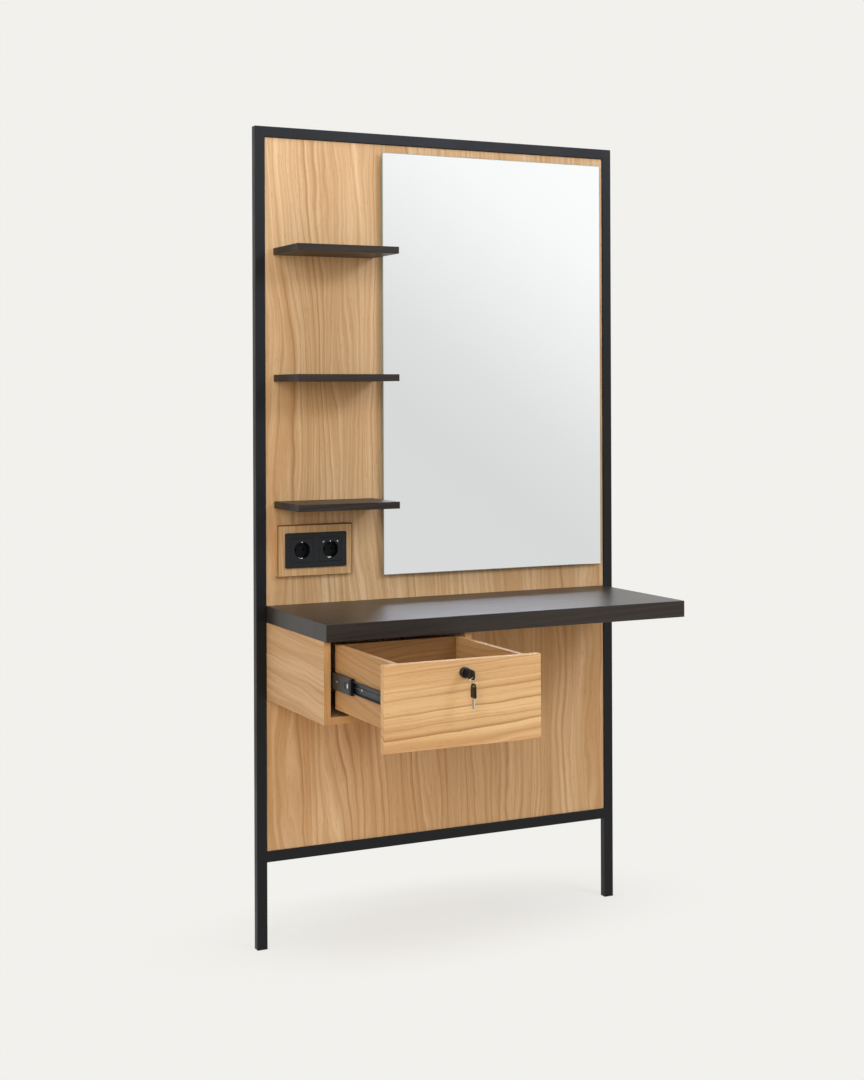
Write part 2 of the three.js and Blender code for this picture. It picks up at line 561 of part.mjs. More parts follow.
function socketInsert() {
  const face = -SOCKET.frameThickness;
  const floor = face + INSERT.wellDepth;
  const half = INSERT.size / 2;
  const { blockHalf, blockDepth } = INSERT;
  const body = joined(
    block([-half, face, -half], [half, -GAP, half]),
    rodAlongY(INSERT.cup, -1, floor + 1, 32),
    block([-blockHalf, floor, -blockHalf], [blockHalf, floor + blockDepth, blockHalf]),
  );
  const pinEnd = floor + blockDepth - PIN_HOLE.endWall;
  const pinXs = [-PIN_HOLE.spacing / 2, PIN_HOLE.spacing / 2];
  const pins = pinXs.map((x) => rodAlongY(PIN_HOLE.radius, floor - 1, pinEnd, 12, x, 0));
  const { halfWidth, strip, contact, outside, legs, under } = EARTH;
  const room = STRAP_ROOM;
  const width = halfWidth + GAP;
  const strapBack = floor + under + strip + room;
  const strapRoom = [-1, 1].map((sign) => {
    const [low, high] = [contact - 1, outside + room].map((z) => sign * z).sort((a, b) => a - b);
    return block([-width, face + legs - room, low], [width, strapBack, high]);
  });
  const tunnel = block([-width, floor + under - room, -outside - room], [width, strapBack, outside + room]);
  return cut(body, rodAlongY(INSERT.well, face - 1, floor, 36), ...pins, ...strapRoom, tunnel);
}

function earthStrap() {
  const face = -SOCKET.frameThickness;
  const floor = face + INSERT.wellDepth;
  const { halfWidth, strip, contact, outside, legs, bump, under } = EARTH;
  const strapBack = floor + under + strip;
  const parts = [-1, 1].flatMap((sign) => {
    const between = (inner) => [inner, outside].map((z) => sign * z).sort((a, b) => a - b);
    const [legLow, legHigh] = between(outside - strip);
    const [bumpLow, bumpHigh] = between(contact);
    return [
      block([-halfWidth, face + legs, legLow], [halfWidth, strapBack, legHigh]),
      block([-halfWidth, face + bump, bumpLow], [halfWidth, face + 2 * bump, bumpHigh]),
    ];
  });
  return joined(block([-halfWidth, floor + under, -outside], [halfWidth, strapBack, outside]), ...parts);
}

function buildSocket() {
  const socket = assembly("socket", station, [SOCKET.x, SOCKET_BOARD_FRONT, SOCKET.z]);
  const { width, height, thickness } = SOCKET_BOARD;
  const raised = cut(
    block([-width / 2, 0, -height / 2], [width / 2, thickness - GAP, height / 2]),
    block([-boxOpening.x, -1, -boxOpening.z], [boxOpening.x, thickness + 1, boxOpening.z]),
  );
  piece(socket, "socket_board", raised, lightWood);

  const box = { x: BACK_BOX.width / 2, z: BACK_BOX.height / 2 };
  const inside = { x: box.x - BACK_BOX.wall, z: box.z - BACK_BOX.wall };
  const { depth, wall } = BACK_BOX;
  const backBox = cut(
    block([-box.x, 0, -box.z], [box.x, depth, box.z]),
    block([-inside.x, -1, -inside.z], [inside.x, depth - wall, inside.z]),
    rodAlongY(CABLE_ENTRY.radius, depth - 2 * wall, depth + 1, 20, 0, CABLE_ENTRY.up - box.z),
  );
  piece(socket, "socket_back_box", backBox, greyPlastic);

  const half = { x: SOCKET.frameWidth / 2, z: SOCKET.frameHeight / 2 };
  const window = INSERT.size / 2 + INSERT.seam;
  const outline = roundedShape(-half.x, half.x, -half.z, half.z, 3);
  const centres = [-SOCKET.spacing / 2, SOCKET.spacing / 2];
  const [before, behind] = [-SOCKET.frameThickness - 1, 1];
  const openings = centres.map((x) => block([x - window, before, -window], [x + window, behind, window]));
  const frame = cut(outlineAlongY(outline, -SOCKET.frameThickness, -GAP, 4), ...openings);
  piece(socket, "socket_frame", frame, blackPlastic);

  const insert = socketInsert();
  const strap = earthStrap();
  ["left", "right"].forEach((side, index) => {
    piece(socket, `socket_insert_${side}`, insert, blackPlastic, [centres[index], 0, 0]);
    piece(socket, `earth_strap_${side}`, strap, zincSteel, [centres[index], 0, 0]);
  });
}

buildFrame();
buildPanel();
buildMirror();
buildShelves();
buildWorktop();
buildCabinet();
buildDrawer();
buildSlides();
buildLock();
buildSocket();

export default station;
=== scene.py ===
"""Fine pieces and finishes of a wall-fixed salon styling station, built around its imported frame."""
import json
import logging
import math
from contextlib import contextmanager
from dataclasses import dataclass
from enum import Enum
from typing import Any, Callable, Iterator, Optional, Sequence

import bmesh
import bpy
from mathutils import Euler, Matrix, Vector

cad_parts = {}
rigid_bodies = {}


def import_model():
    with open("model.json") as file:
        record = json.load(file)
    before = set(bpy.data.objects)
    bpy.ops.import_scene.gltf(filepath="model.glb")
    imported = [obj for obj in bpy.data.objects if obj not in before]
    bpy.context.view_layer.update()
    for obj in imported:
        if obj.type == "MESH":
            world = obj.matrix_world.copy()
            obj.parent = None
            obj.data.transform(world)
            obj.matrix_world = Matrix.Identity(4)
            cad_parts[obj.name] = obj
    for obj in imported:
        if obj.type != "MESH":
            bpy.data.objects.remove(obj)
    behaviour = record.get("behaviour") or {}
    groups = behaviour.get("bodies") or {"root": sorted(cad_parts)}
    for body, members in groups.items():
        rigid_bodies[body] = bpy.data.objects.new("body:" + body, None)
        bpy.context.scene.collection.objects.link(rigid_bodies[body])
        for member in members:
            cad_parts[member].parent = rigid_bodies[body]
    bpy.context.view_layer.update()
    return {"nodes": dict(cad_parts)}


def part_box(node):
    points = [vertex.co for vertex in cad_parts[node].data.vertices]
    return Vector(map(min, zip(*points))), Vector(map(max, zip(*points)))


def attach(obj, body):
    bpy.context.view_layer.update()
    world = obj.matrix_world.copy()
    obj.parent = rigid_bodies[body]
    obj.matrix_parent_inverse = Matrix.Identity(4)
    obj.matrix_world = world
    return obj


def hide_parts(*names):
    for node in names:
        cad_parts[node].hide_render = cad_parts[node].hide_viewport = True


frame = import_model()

LOG = logging.getLogger("styling_station")
MM = 0.001
HAIR = 0.05 * MM  # how near a corner counts as being on a plane
RING_SLOPE = (1.0, 0.83, 0.05)  # how the wood's rings lie across a board, through it and along it
LATE_WOOD = [(0.0, "#000000"), (0.25, "#0C0C0C"), (0.6, "#5A5A5A"), (0.8, "#D0D0D0"), (0.89, "#FFFFFF"),
             (1.0, "#000000")]  # one ring: its dark line grows slowly and ends at once
Point = Sequence[float]
Size = tuple[float, float]
Triple = tuple[float, float, float]
Material = bpy.types.Material


# ---- Shader nodes ------------------------------------------------------------------------------------

def linear(hex_colour: str, alpha: float = 1.0) -> tuple[float, float, float, float]:
    """Turns an sRGB colour into the linear one that a shader takes.

    Args:
        hex_colour: the colour as "#RRGGBB".
        alpha: its opacity.

    Returns:
        Linear red, green and blue, and the opacity.
    """
    channels = [int(hex_colour[i:i + 2], 16) / 255 for i in (1, 3, 5)]
    red, green, blue = (c / 12.92 if c <= 0.04045 else ((c + 0.055) / 1.055) ** 2.4 for c in channels)
    return red, green, blue, alpha


def add(tree: bpy.types.NodeTree, kind: str, settings: Optional[dict[str, Any]] = None,
        stops: Sequence[tuple[float, str]] = (), **sockets: Any) -> bpy.types.Node:
    """Adds one node to a tree.

    Args:
        tree: the node tree.
        kind: the node's type, without its "ShaderNode".
        settings: the node's own properties.
        stops: a colour ramp's places and sRGB colours.
        sockets: input values, or output sockets to link from. A name's underscores stand for spaces, and
            one that starts with "at" and a number is the input of that number.

    Returns:
        The new node.
    """
    node = tree.nodes.new("ShaderNode" + kind)
    for name, value in (settings or {}).items():
        setattr(node, name, value)
    for index, (place, colour) in enumerate(stops):
        elements = node.color_ramp.elements
        element = elements[index] if index < len(elements) else elements.new(place)
        element.position = place
        element.color = linear(colour)
    for name, value in sockets.items():
        socket = node.inputs[int(name[2:])] if name.startswith("at") else node.inputs[name.replace("_", " ")]
        if isinstance(value, bpy.types.NodeSocket):
            tree.links.new(value, socket)
        else:
            socket.default_value = value
    return node


def new_material(name: str) -> tuple[Material, bpy.types.NodeTree]:
    """Makes an empty material and returns it with its node tree.

    Args:
        name: what the material is and how it was made.

    Returns:
        The material and its empty node tree.
    """
    material = bpy.data.materials.new(name)
    material.use_nodes = True
    material.node_tree.nodes.clear()
    return material, material.node_tree


def surface(tree: bpy.types.NodeTree, **sockets: Any) -> None:
    """Ends a tree in a Principled surface with these inputs."""
    shader = add(tree, "BsdfPrincipled", None, (), **sockets)
    add(tree, "OutputMaterial", Surface=shader.outputs[0])


def spread(tree: bpy.types.NodeTree, noise: bpy.types.NodeSocket, low: float, high: float,
           ends: tuple[float, float] = (0.3, 0.7)) -> bpy.types.NodeSocket:
    """Stretches a noise, most of which lies between `ends`, over the range from low to high."""
    return add(tree, "MapRange", Value=noise, From_Min=ends[0], From_Max=ends[1], To_Min=low,
               To_Max=high).outputs[0]


class Grain(Enum):
    """Which way the grain runs. The value turns that way to the pattern's own Z."""

    UPRIGHT = (0.0, 0.0, 0.0)
    ACROSS = (0.0, -math.pi / 2, 0.0)
    FORE_AND_AFT = (math.pi / 2, 0.0, 0.0)


@dataclass(frozen=True)
class WoodLaminate:
    """Melamine-faced board with a printed and pressed wood figure.

    Growth rings cross the board as nearly parallel bands. A slow noise drawn out along the grain bends
    them, so that here and there they close in long arches. Every ring has its own strength, and streaks and
    fibres flow with the rings, with short pores over them. Each pattern's size is given across and along the
    grain.
    """

    name: str
    grain: Grain
    shift: Point = (0.0, 0.0, 0.0)
    light: str = "#E3C298"
    mid: str = "#C79E6E"
    line: str = "#9E7040"
    pore: str = "#8F673C"
    pitch: float = 19 * MM  # from one ring to the next across the board
    figure: Size = (170 * MM, 1100 * MM)  # one bend of the rings
    bend: float = 10.0  # how many rings wide the bends are
    waves: Size = (60 * MM, 220 * MM)  # one of their small waves
    wave: float = 1.7
    line_strength: float = 0.85
    roughness: tuple[float, float] = (0.42, 0.55)
    gloss: float = 0.3
    patch: Size = (100 * MM, 700 * MM)  # where the rings fade and come back
    tone: Size = (110 * MM, 1100 * MM)  # broad drifts of colour
    streak: Size = (9 * MM, 700 * MM)
    fibre: Size = (2.8 * MM, 140 * MM)  # bundles of real fibres, which are far too fine to show
    pore_size: Size = (1.4 * MM, 22 * MM)  # real pores are some 0.3 mm wide; drawn coarser so that they show

    def build(self) -> Material:
        """Makes the material.

        Returns:
            The material.
        """
        material, tree = new_material(self.name)
        place = add(tree, "TexCoord").outputs["Object"]
        turned = add(tree, "Mapping", Vector=place, Rotation=self.grain.value, Location=self.shift).outputs[0]

        def drawn_out(size: Size, detail: float, rough: float = 0.5,
                      field: bpy.types.NodeSocket = turned) -> bpy.types.NodeSocket:
            """A noise whose patches are this big across and along the grain.

            Args:
                size: the two sizes.
                detail: how many finer noises lie over it.
                rough: how strong these are.
                field: the coordinates that it is drawn on.

            Returns:
                Its value's socket.
            """
            across, along = size
            scaled = add(tree, "Mapping", Vector=field, Scale=(1 / across, 1 / across, 1 / along)).outputs[0]
            noise = add(tree, "TexNoise", Vector=scaled, Scale=1.0, Detail=detail, Roughness=rough)
            return noise.outputs["Fac"]

        def maths(operation: str, first: Any, second: Any, third: Any = 0.0) -> bpy.types.NodeSocket:
            """One step of arithmetic."""
            return add(tree, "Math", {"operation": operation}, at0=first, at1=second, at2=third).outputs[0]

        slope = [share / self.pitch for share in RING_SLOPE]
        even = add(tree, "VectorMath", {"operation": "DOT_PRODUCT"}, at0=turned, at1=slope).outputs["Value"]
        bent = maths("MULTIPLY", drawn_out(self.figure, 1.0), self.bend)
        waver = maths("MULTIPLY", drawn_out(self.waves, 2.0), self.wave)
        phase = maths("ADD", maths("ADD", even, bent), waver)
        length = add(tree, "SeparateXYZ", Vector=turned).outputs["Z"]
        flow = add(tree, "CombineXYZ", X=maths("MULTIPLY", phase, self.pitch), Z=length).outputs[0]

        ring_line = add(tree, "ValToRGB", {}, LATE_WOOD, Fac=maths("FRACT", phase, 0.0)).outputs[0]
        ring = maths("FLOOR", phase, 0.0)
        own = add(tree, "TexWhiteNoise", {"noise_dimensions": "1D"}, W=ring).outputs["Value"]
        patchy = add(tree, "MapRange", Value=drawn_out(self.patch, 1.0), From_Min=0.36, From_Max=0.62,
                     To_Min=0.35, To_Max=1.0).outputs[0]
        strength = maths("MULTIPLY", maths("MULTIPLY_ADD", own, 0.85, 0.15), patchy)
        lines = maths("MULTIPLY", maths("MULTIPLY", ring_line, strength), self.line_strength)

        fibre = drawn_out(self.fibre, 3.0, 0.65, flow)
        tone = maths("MULTIPLY", drawn_out(self.tone, 2.0), 0.5)
        toned = maths("MULTIPLY_ADD", drawn_out(self.streak, 2.0, 0.6, flow), 0.55, tone)
        ground = maths("MULTIPLY_ADD", fibre, 0.22, toned)
        board = add(tree, "ValToRGB", {}, [(0.55, self.mid), (0.8, self.light)], Fac=ground).outputs[0]
        lined = add(tree, "Mix", {"data_type": "RGBA"}, at0=lines, at6=board,
                    at7=linear(self.line)).outputs[2]
        pores = add(tree, "MapRange", Value=drawn_out(self.pore_size, 2.0, 0.6), From_Min=0.6, From_Max=0.74,
                    To_Min=0.0, To_Max=0.45).outputs[0]
        colour = add(tree, "Mix", {"data_type": "RGBA"}, at0=pores, at6=lined,
                     at7=linear(self.pore)).outputs[2]

        rough = spread(tree, fibre, *self.roughness)
        bump = add(tree, "Bump", Height=maths("SUBTRACT", fibre, pores), Strength=0.25,
                   Distance=0.12 * MM).outputs[0]
        surface(tree, Base_Color=colour, Roughness=rough, Normal=bump, Specular_IOR_Level=self.gloss)
        return material


@dataclass(frozen=True)
class PowderCoat:
    """Black powder baked on metal: satin, with a faint orange peel that breaks up its highlights."""

    name: str = "powder_coat_satin_black"
    colour: str = "#0D0E10"
    roughness: float = 0.42
    gloss: float = 0.24
    peel: float = 2.2 * MM  # one dimple of the orange peel

    def build(self) -> Material:
        """Makes the material.

        Returns:
            The material.
        """
        material, tree = new_material(self.name)
        place = add(tree, "TexCoord").outputs["Object"]
        peel = add(tree, "TexNoise", Vector=place, Scale=1 / self.peel, Detail=1.0).outputs["Fac"]
        cloud = add(tree, "TexNoise", Vector=place, Scale=9.0, Detail=2.0).outputs["Fac"]
        rough = spread(tree, cloud, self.roughness - 0.04, self.roughness + 0.05)
        bump = add(tree, "Bump", Height=peel, Strength=0.18, Distance=0.1 * MM).outputs[0]
        surface(tree, Base_Color=linear(self.colour), Roughness=rough, Normal=bump,
                Specular_IOR_Level=self.gloss)
        return material


@dataclass(frozen=True)
class Metal:
    """A bare or plated metal. Its roughness drifts, and a rolled or tumbled grain lies in its surface."""

    name: str
    colour: str
    bloom: str  # the second tone of the plating, in broad patches
    roughness: float
    grain: Point = (400.0, 400.0, 400.0)  # marks per metre along X, Y and Z
    metallic: float = 1.0

    def build(self) -> Material:
        """Makes the material.

        Returns:
            The material.
        """
        material, tree = new_material(self.name)
        place = add(tree, "TexCoord").outputs["Object"]
        patches = add(tree, "TexNoise", Vector=place, Scale=45.0, Detail=3.0).outputs["Fac"]
        colour = add(tree, "ValToRGB", {}, [(0.35, self.colour), (0.7, self.bloom)], Fac=patches).outputs[0]
        scaled = add(tree, "Mapping", Vector=place, Scale=self.grain).outputs[0]
        marks = add(tree, "TexNoise", Vector=scaled, Scale=1.0, Detail=3.0).outputs["Fac"]
        rough = spread(tree, marks, self.roughness * 0.75, self.roughness * 1.25)
        bump = add(tree, "Bump", Height=marks, Strength=0.12, Distance=0.05 * MM).outputs[0]
        surface(tree, Base_Color=colour, Metallic=self.metallic, Roughness=rough, Normal=bump)
        return material


@dataclass(frozen=True)
class MouldedPlastic:
    """Plastic moulded against a spark-eroded tool, which leaves a fine even matt grain."""

    name: str
    colour: str
    roughness: float
    grain: float = 0.5 * MM  # real tools leave about half of this; it is drawn coarser so that it shows
    gloss: float = 0.22

    def build(self) -> Material:
        """Makes the material.

        Returns:
            The material.
        """
        material, tree = new_material(self.name)
        place = add(tree, "TexCoord").outputs["Object"]
        grain = add(tree, "TexNoise", Vector=place, Scale=1 / self.grain, Detail=2.0).outputs["Fac"]
        cloud = add(tree, "TexNoise", Vector=place, Scale=60.0, Detail=2.0).outputs["Fac"]
        rough = spread(tree, cloud, self.roughness - 0.05, self.roughness + 0.05)
        bump = add(tree, "Bump", Height=grain, Strength=0.2, Distance=0.06 * MM).outputs[0]
        surface(tree, Base_Color=linear(self.colour), Roughness=rough, Normal=bump,
                Specular_IOR_Level=self.gloss)
        return material


@dataclass(frozen=True)
class MirrorSilver:
    """Silvered float glass: a clean reflection, with a trace of haze from wiping."""

    name: str = "silvered_float_glass"
    colour: str = "#FBFCFC"

    def build(self) -> Material:
        """Makes the material.

        Returns:
            The material.
        """
        material, tree = new_material(self.name)
        place = add(tree, "TexCoord").outputs["Object"]
        wiped = add(tree, "TexNoise", Vector=place, Scale=5.0, Detail=2.0).outputs["Fac"]
        haze = spread(tree, wiped, 0.008, 0.02, (0.4, 0.8))
        surface(tree, Base_Color=linear(self.colour), Metallic=1.0, Roughness=haze)
        return material


@dataclass(frozen=True)
class GlassEdge:
    """The ground and polished edge of the pane, where float glass looks deep green-grey."""

    name: str = "polished_glass_edge"
    colour: str = "#7E918A"

    def build(self) -> Material:
        """Makes the material.

        Returns:
            The material.
        """
        material, tree = new_material(self.name)
        place = add(tree, "TexCoord").outputs["Object"]
        ground = add(tree, "TexNoise", Vector=place, Scale=1 / (3 * MM), Detail=2.0).outputs["Fac"]
        rough = spread(tree, ground, 0.08, 0.2)
        surface(tree, Base_Color=linear(self.colour), Roughness=rough, IOR=1.52, Coat_Weight=0.5)
        return material


@dataclass(frozen=True)
class Fibreboard:
    """Raw medium-density fibreboard: pressed wood dust, mottled brown and quite matt."""

    name: str = "raw_fibreboard"
    colour: str = "#9C7B55"
    fleck: str = "#846443"

    def build(self) -> Material:
        """Makes the material.

        Returns:
            The material.
        """
        material, tree = new_material(self.name)
        place = add(tree, "TexCoord").outputs["Object"]
        dust = add(tree, "TexNoise", Vector=place, Scale=1 / (1.5 * MM), Detail=4.0,
                   Roughness=0.7).outputs["Fac"]
        colour = add(tree, "ValToRGB", {}, [(0.35, self.fleck), (0.65, self.colour)], Fac=dust).outputs[0]
        bump = add(tree, "Bump", Height=dust, Strength=0.3, Distance=0.1 * MM).outputs[0]
        surface(tree, Base_Color=colour, Roughness=0.85, Normal=bump)
        return material


SMOKED = dict(light="#3B332C", mid="#282320", line="#191513", pore="#151210", pitch=10 * MM,
              figure=(90 * MM, 1200 * MM), bend=4.0, wave=0.8, line_strength=0.75)
CARCASS = dict(pitch=13 * MM, figure=(120 * MM, 800 * MM), bend=5.0, waves=(50 * MM, 200 * MM))
FRONT = dict(light="#E9C490", mid="#CFA370", line="#9A6A3A", pitch=17 * MM, figure=(100 * MM, 2400 * MM),
             bend=2.2, waves=(80 * MM, 220 * MM), wave=1.1, line_strength=0.9)
INSIDE = dict(light="#C79C68", mid="#B38655", line="#8C6035", pitch=11 * MM)
# Painted shade: the drawer back's tones, darkened for the shade inside the drawer.
INSIDE_BACK_PAINTED_SHADE = dict(light="#92693F", mid="#724F2A", line="#57391E", pitch=11 * MM)
BAND = dict(light="#D3A870", mid="#BF9360", line="#8E6236", pitch=5 * MM)
# Painted shade: dark tones for the shadow round the socket board.
SHADOW_GAP_TONES = dict(light="#8A623A", mid="#744E2B", line="#5A3A1E", pitch=5 * MM)


class Finishes:
    """Every finish on the station, each made once and kept."""

    def __init__(self) -> None:
        """Lists the finishes. None is made until a piece asks for it."""
        self._made: dict[str, Material] = {}
        wood = WoodLaminate
        self._known: dict[str, Any] = {
            # A warm matt board with long upright waves of grain and the odd arch.
            "panel": wood("oak_laminate_upright", Grain.UPRIGHT, (0.0, 0.0, 0.35)),
            # The same board from another sheet, so that its closer lines break off at its edge.
            "socket_board": wood("oak_laminate_socket_board", Grain.UPRIGHT, (1.37, 0.2, 2.0), pitch=9 * MM),
            # Grain that runs from the wall to the front, closer and quieter than the panel's.
            "cabinet": wood("oak_laminate_fore_and_aft", Grain.FORE_AND_AFT, (0.4, 0.13, 1.2), **CARCASS),
            # A browner, darker board on the drawer's box than on its front.
            "drawer_box": wood("oak_laminate_drawer_box", Grain.FORE_AND_AFT, (0.9, 0.53, 0.2), **INSIDE),
            # The darkest of the light boards, deep inside the drawer: painted shade, darker than the sides
            # for the shade the back lies in under the worktop.
            "drawer_back": wood("oak_laminate_drawer_back_painted_shade", Grain.ACROSS, (0.9, 0.53, 0.2), **INSIDE_BACK_PAINTED_SHADE),
            # The palest board, with strong and nearly level lines across it.
            "drawer_front": wood("oak_laminate_across", Grain.ACROSS, (0.66, 0.31, 0.5), **FRONT),
            # A thin glued strip with fine straight grain, which ends the boards' figure at their edges.
            "edge_band": wood("oak_edge_band", Grain.UPRIGHT, (0.9, 1.3, 0.1), **BAND),
            # Painted shade: a dark line on the chamfers round the socket board, for the shadow in the gap
            # between board and panel.
            "shadow_gap_edge": wood("oak_edge_painted_shadow_gap", Grain.UPRIGHT, (0.9, 1.3, 0.1), **SHADOW_GAP_TONES),
            # Nearly black wood with a low sheen, in which the mirror shows as a pale streaked haze.
            "worktop": wood("smoked_oak_laminate_semi_gloss", Grain.ACROSS, (0.2, 0.7, 0.3),
                            roughness=(0.32, 0.4), gloss=0.28, **SMOKED),
            # The same wood with less sheen.
            "shelf": wood("smoked_oak_laminate", Grain.ACROSS, (1.2, 0.4, 2.3), roughness=(0.36, 0.46),
                          gloss=0.2, **SMOKED),
            # Deep satin black with soft, slightly broken highlights along the tubes' edges.
            "powder": PowderCoat(),
            # A clean bright mirror.
            "mirror": MirrorSilver(),
            # A grey-green line round the mirror.
            "glass_edge": GlassEdge(),
            # Dull grey paint that seals the silver from behind.
            "mirror_back": MouldedPlastic("mirror_back_paint", "#5F6A6C", 0.5),
            # Light grey steel with a cool bloom and fine rolling lines.
            "zinc": Metal("zinc_plate_rolled", "#A9ABAC", "#BDBBB3", 0.34, (60.0, 60.0, 900.0)),
            # Small sharp glints, on the keys' blades, the ring and the contacts.
            "nickel": Metal("nickel_plate_bright", "#D6D3CD", "#C4C2BE", 0.16),
            # Dark grey metal that still glints, so that the slides don't look painted.
            "slide": Metal("black_zinc_rolled", "#2E3133", "#3B3E40", 0.36, (900.0, 30.0, 900.0), 0.85),
            # Blacker and glossier than the frame, with a crisp highlight round the rim.
            "lock": PowderCoat("black_chromate_on_zinc", "#0C0D0E", 0.28, 0.35),
            # Black plastic with soft highlights on the rounded bows.
            "key": MouldedPlastic("abs_moulded_black", "#0C0D0E", 0.34, gloss=0.3),
            # Blue-black and evenly matt, a little lighter than the frame.
            "socket": MouldedPlastic("thermoplast_moulded_anthracite", "#202225", 0.4),
            # Black plastic of the slide stops; on the sockets' inserts it is painted shade, sinking the wells
            # and their ribs into black.
            "socket_deep": MouldedPlastic("black_plastic_and_painted_well_shade", "#08090A", 0.5, gloss=0.15),
            # Plain grey, for the box at the back.
            "grey": MouldedPlastic("polypropylene_moulded_grey", "#8F9294", 0.5),
            # Brown and quite matt, with a fine mottle.
            "fibre": Fibreboard(),
        }

    def __getitem__(self, key: str) -> Material:
        """The material of that name, made on first use.

        Args:
            key: the finish's name in the list above.

        Returns:
            The material.
        """
        if key not in self._made:
            self._made[key] = self._known[key].build()
        return self._made[key]


FINISH = Finishes()


# ---- Bench work --------------------------------------------------------------------------------------

FaceTest = Callable[[Vector, Vector], bool]
EdgeTest = Callable[[Vector, Vector], bool]


def clear_selection() -> None:
    """Leaves edit mode and deselects everything."""
    if bpy.context.mode != "OBJECT":
        bpy.ops.object.mode_set(mode="OBJECT")
    bpy.ops.object.select_all(action="DESELECT")


def facing(axis: int, sign: int) -> FaceTest:
    """A test for faces that look along one axis: 0, 1 or 2, and 1 or -1."""
    return lambda centre, normal: normal[axis] * sign > 0.9


class Workpiece:
    """One piece on the bench. It is modelled in place, with its object at the origin."""

    def __init__(self, name: str, obj: bpy.types.Object) -> None:
        """Takes a freshly added object.

        Args:
            name: the piece's name.
            obj: the object, at any place and size, which are moved into its mesh.
        """
        self.obj = obj
        obj.name = name
        obj.data.name = name
        self.activate()
        bpy.ops.object.transform_apply(location=True, rotation=True, scale=True)

    @classmethod
    def block(cls, name: str, corner: Point, opposite: Point) -> "Workpiece":
        """A block between any two opposite corners.

        Args:
            name: the piece's name.
            corner: one corner.
            opposite: the corner furthest from it.

        Returns:
            The block.
        """
        clear_selection()
        centre = [(a + b) / 2 for a, b in zip(corner, opposite)]
        size = [abs(b - a) for a, b in zip(corner, opposite)]
        bpy.ops.mesh.primitive_cube_add(size=1, location=centre, scale=size)
        return cls(name, bpy.context.object)

    @classmethod
    def rod(cls, name: str, start: Point, end: Point, radius: float, sides: int = 48) -> "Workpiece":
        """A round rod from one point to another.

        Args:
            name: the piece's name.
            start: the middle of one end.
            end: the middle of the other.
            radius: its radius, to the corners.
            sides: how many flat sides stand for the round.

        Returns:
            The rod.
        """
        clear_selection()
        way = Vector(end) - Vector(start)
        turn = way.to_track_quat("Z", "Y").to_euler()
        bpy.ops.mesh.primitive_cylinder_add(vertices=sides, radius=radius, depth=way.length,
                                            location=(Vector(start) + Vector(end)) / 2, rotation=turn)
        return cls(name, bpy.context.object)

    @classmethod
    def ring(cls, name: str, centre: Point, radius: float, wire: float, turn: Point = (0, 0, 0),
             steps: tuple[int, int] = (64, 12)) -> "Workpiece":
        """A ring of round wire about its own Z, turned by `turn`.

        Args:
            name: the piece's name.
            centre: its middle.
            radius: from there to the wire.
            wire: the wire's radius.
            turn: how it is turned, as Euler angles.
            steps: sides round the ring and round the wire.

        Returns:
            The ring.
        """
        clear_selection()
        bpy.ops.mesh.primitive_torus_add(location=centre, rotation=turn, major_radius=radius,
                                         minor_radius=wire, major_segments=steps[0], minor_segments=steps[1])
        return cls(name, bpy.context.object)

    @classmethod
    def ball(cls, name: str, centre: Point, radius: float) -> "Workpiece":
        """A ball.

        Args:
            name: the piece's name.
            centre: its middle.
            radius: its radius.

        Returns:
            The ball.
        """
        clear_selection()
        bpy.ops.mesh.primitive_uv_sphere_add(location=centre, radius=radius, segments=20, ring_count=12)
        return cls(name, bpy.context.object)

    @classmethod
    def from_node(cls, name: str, node: str) -> "Workpiece":
        """A merged copy of a CAD node, with its flat faces made whole.

        Args:
            name: the piece's name.
            node: the CAD node.

        Returns:
            The copy, without materials.
        """
        clear_selection()
        obj = bpy.data.objects.new(name, frame["nodes"][node].data.copy())
        bpy.context.scene.collection.objects.link(obj)
        piece = cls(name, obj)
        obj.data.materials.clear()
        with piece.editing():
            bpy.ops.mesh.select_all(action="SELECT")
            bpy.ops.mesh.customdata_custom_splitnormals_clear()
            bpy.ops.mesh.remove_doubles(threshold=HAIR / 5)
            bpy.ops.mesh.dissolve_limited(angle_limit=math.radians(1))
        return piece

    def activate(self) -> None:
        """Makes this the one selected and active piece."""
        clear_selection()
        self.obj.select_set(True)
        bpy.context.view_layer.objects.active = self.obj

    @contextmanager
    def editing(self) -> Iterator[None]:
        """Edit mode, with nothing selected at first."""
        self.activate()
        bpy.ops.object.mode_set(mode="EDIT")
        bpy.ops.mesh.select_all(action="DESELECT")
        yield
        bpy.ops.object.mode_set(mode="OBJECT")

    def pick_faces(self, test: FaceTest) -> None:
        """In edit mode, selects only the faces whose centre and normal pass.

        Args:
            test: takes a face's centre and normal.
        """
        bpy.ops.mesh.select_mode(type="FACE")
        bpy.ops.mesh.select_all(action="DESELECT")
        mesh = bmesh.from_edit_mesh(self.obj.data)
        for face in mesh.faces:
            face.select_set(test(face.calc_center_median(), face.normal))
        bmesh.update_edit_mesh(self.obj.data)

    def pick_edges(self, test: EdgeTest, sharper: float = 30.0) -> None:
        """In edit mode, selects only edges sharper than this many degrees, whose two ends pass.

        Args:
            test: takes an edge's two ends.
            sharper: the least bend, in degrees.
        """
        bpy.ops.mesh.select_mode(type="EDGE")
        bpy.ops.mesh.select_all(action="DESELECT")
        mesh = bmesh.from_edit_mesh(self.obj.data)
        for edge in mesh.edges:
            bend = edge.calc_face_angle(0.0)
            edge.select_set(bend > math.radians(sharper) and test(edge.verts[0].co, edge.verts[1].co))
        bmesh.update_edit_mesh(self.obj.data)

    def bevel_edges(self, width: float, segments: int, test: EdgeTest = lambda a, b: True,
                    sharper: float = 30.0) -> "Workpiece":
        """Rounds the sharp edges whose two ends pass the test.

        Args:
            width: how far the rounding reaches.
            segments: its steps.
            test: takes an edge's two ends.
            sharper: the least bend, in degrees.

        Returns:
            The piece.
        """
        with self.editing():
            self.pick_edges(test, sharper)
            bpy.ops.mesh.bevel(offset=width, segments=segments, affect="EDGES", clamp_overlap=True)
        return self

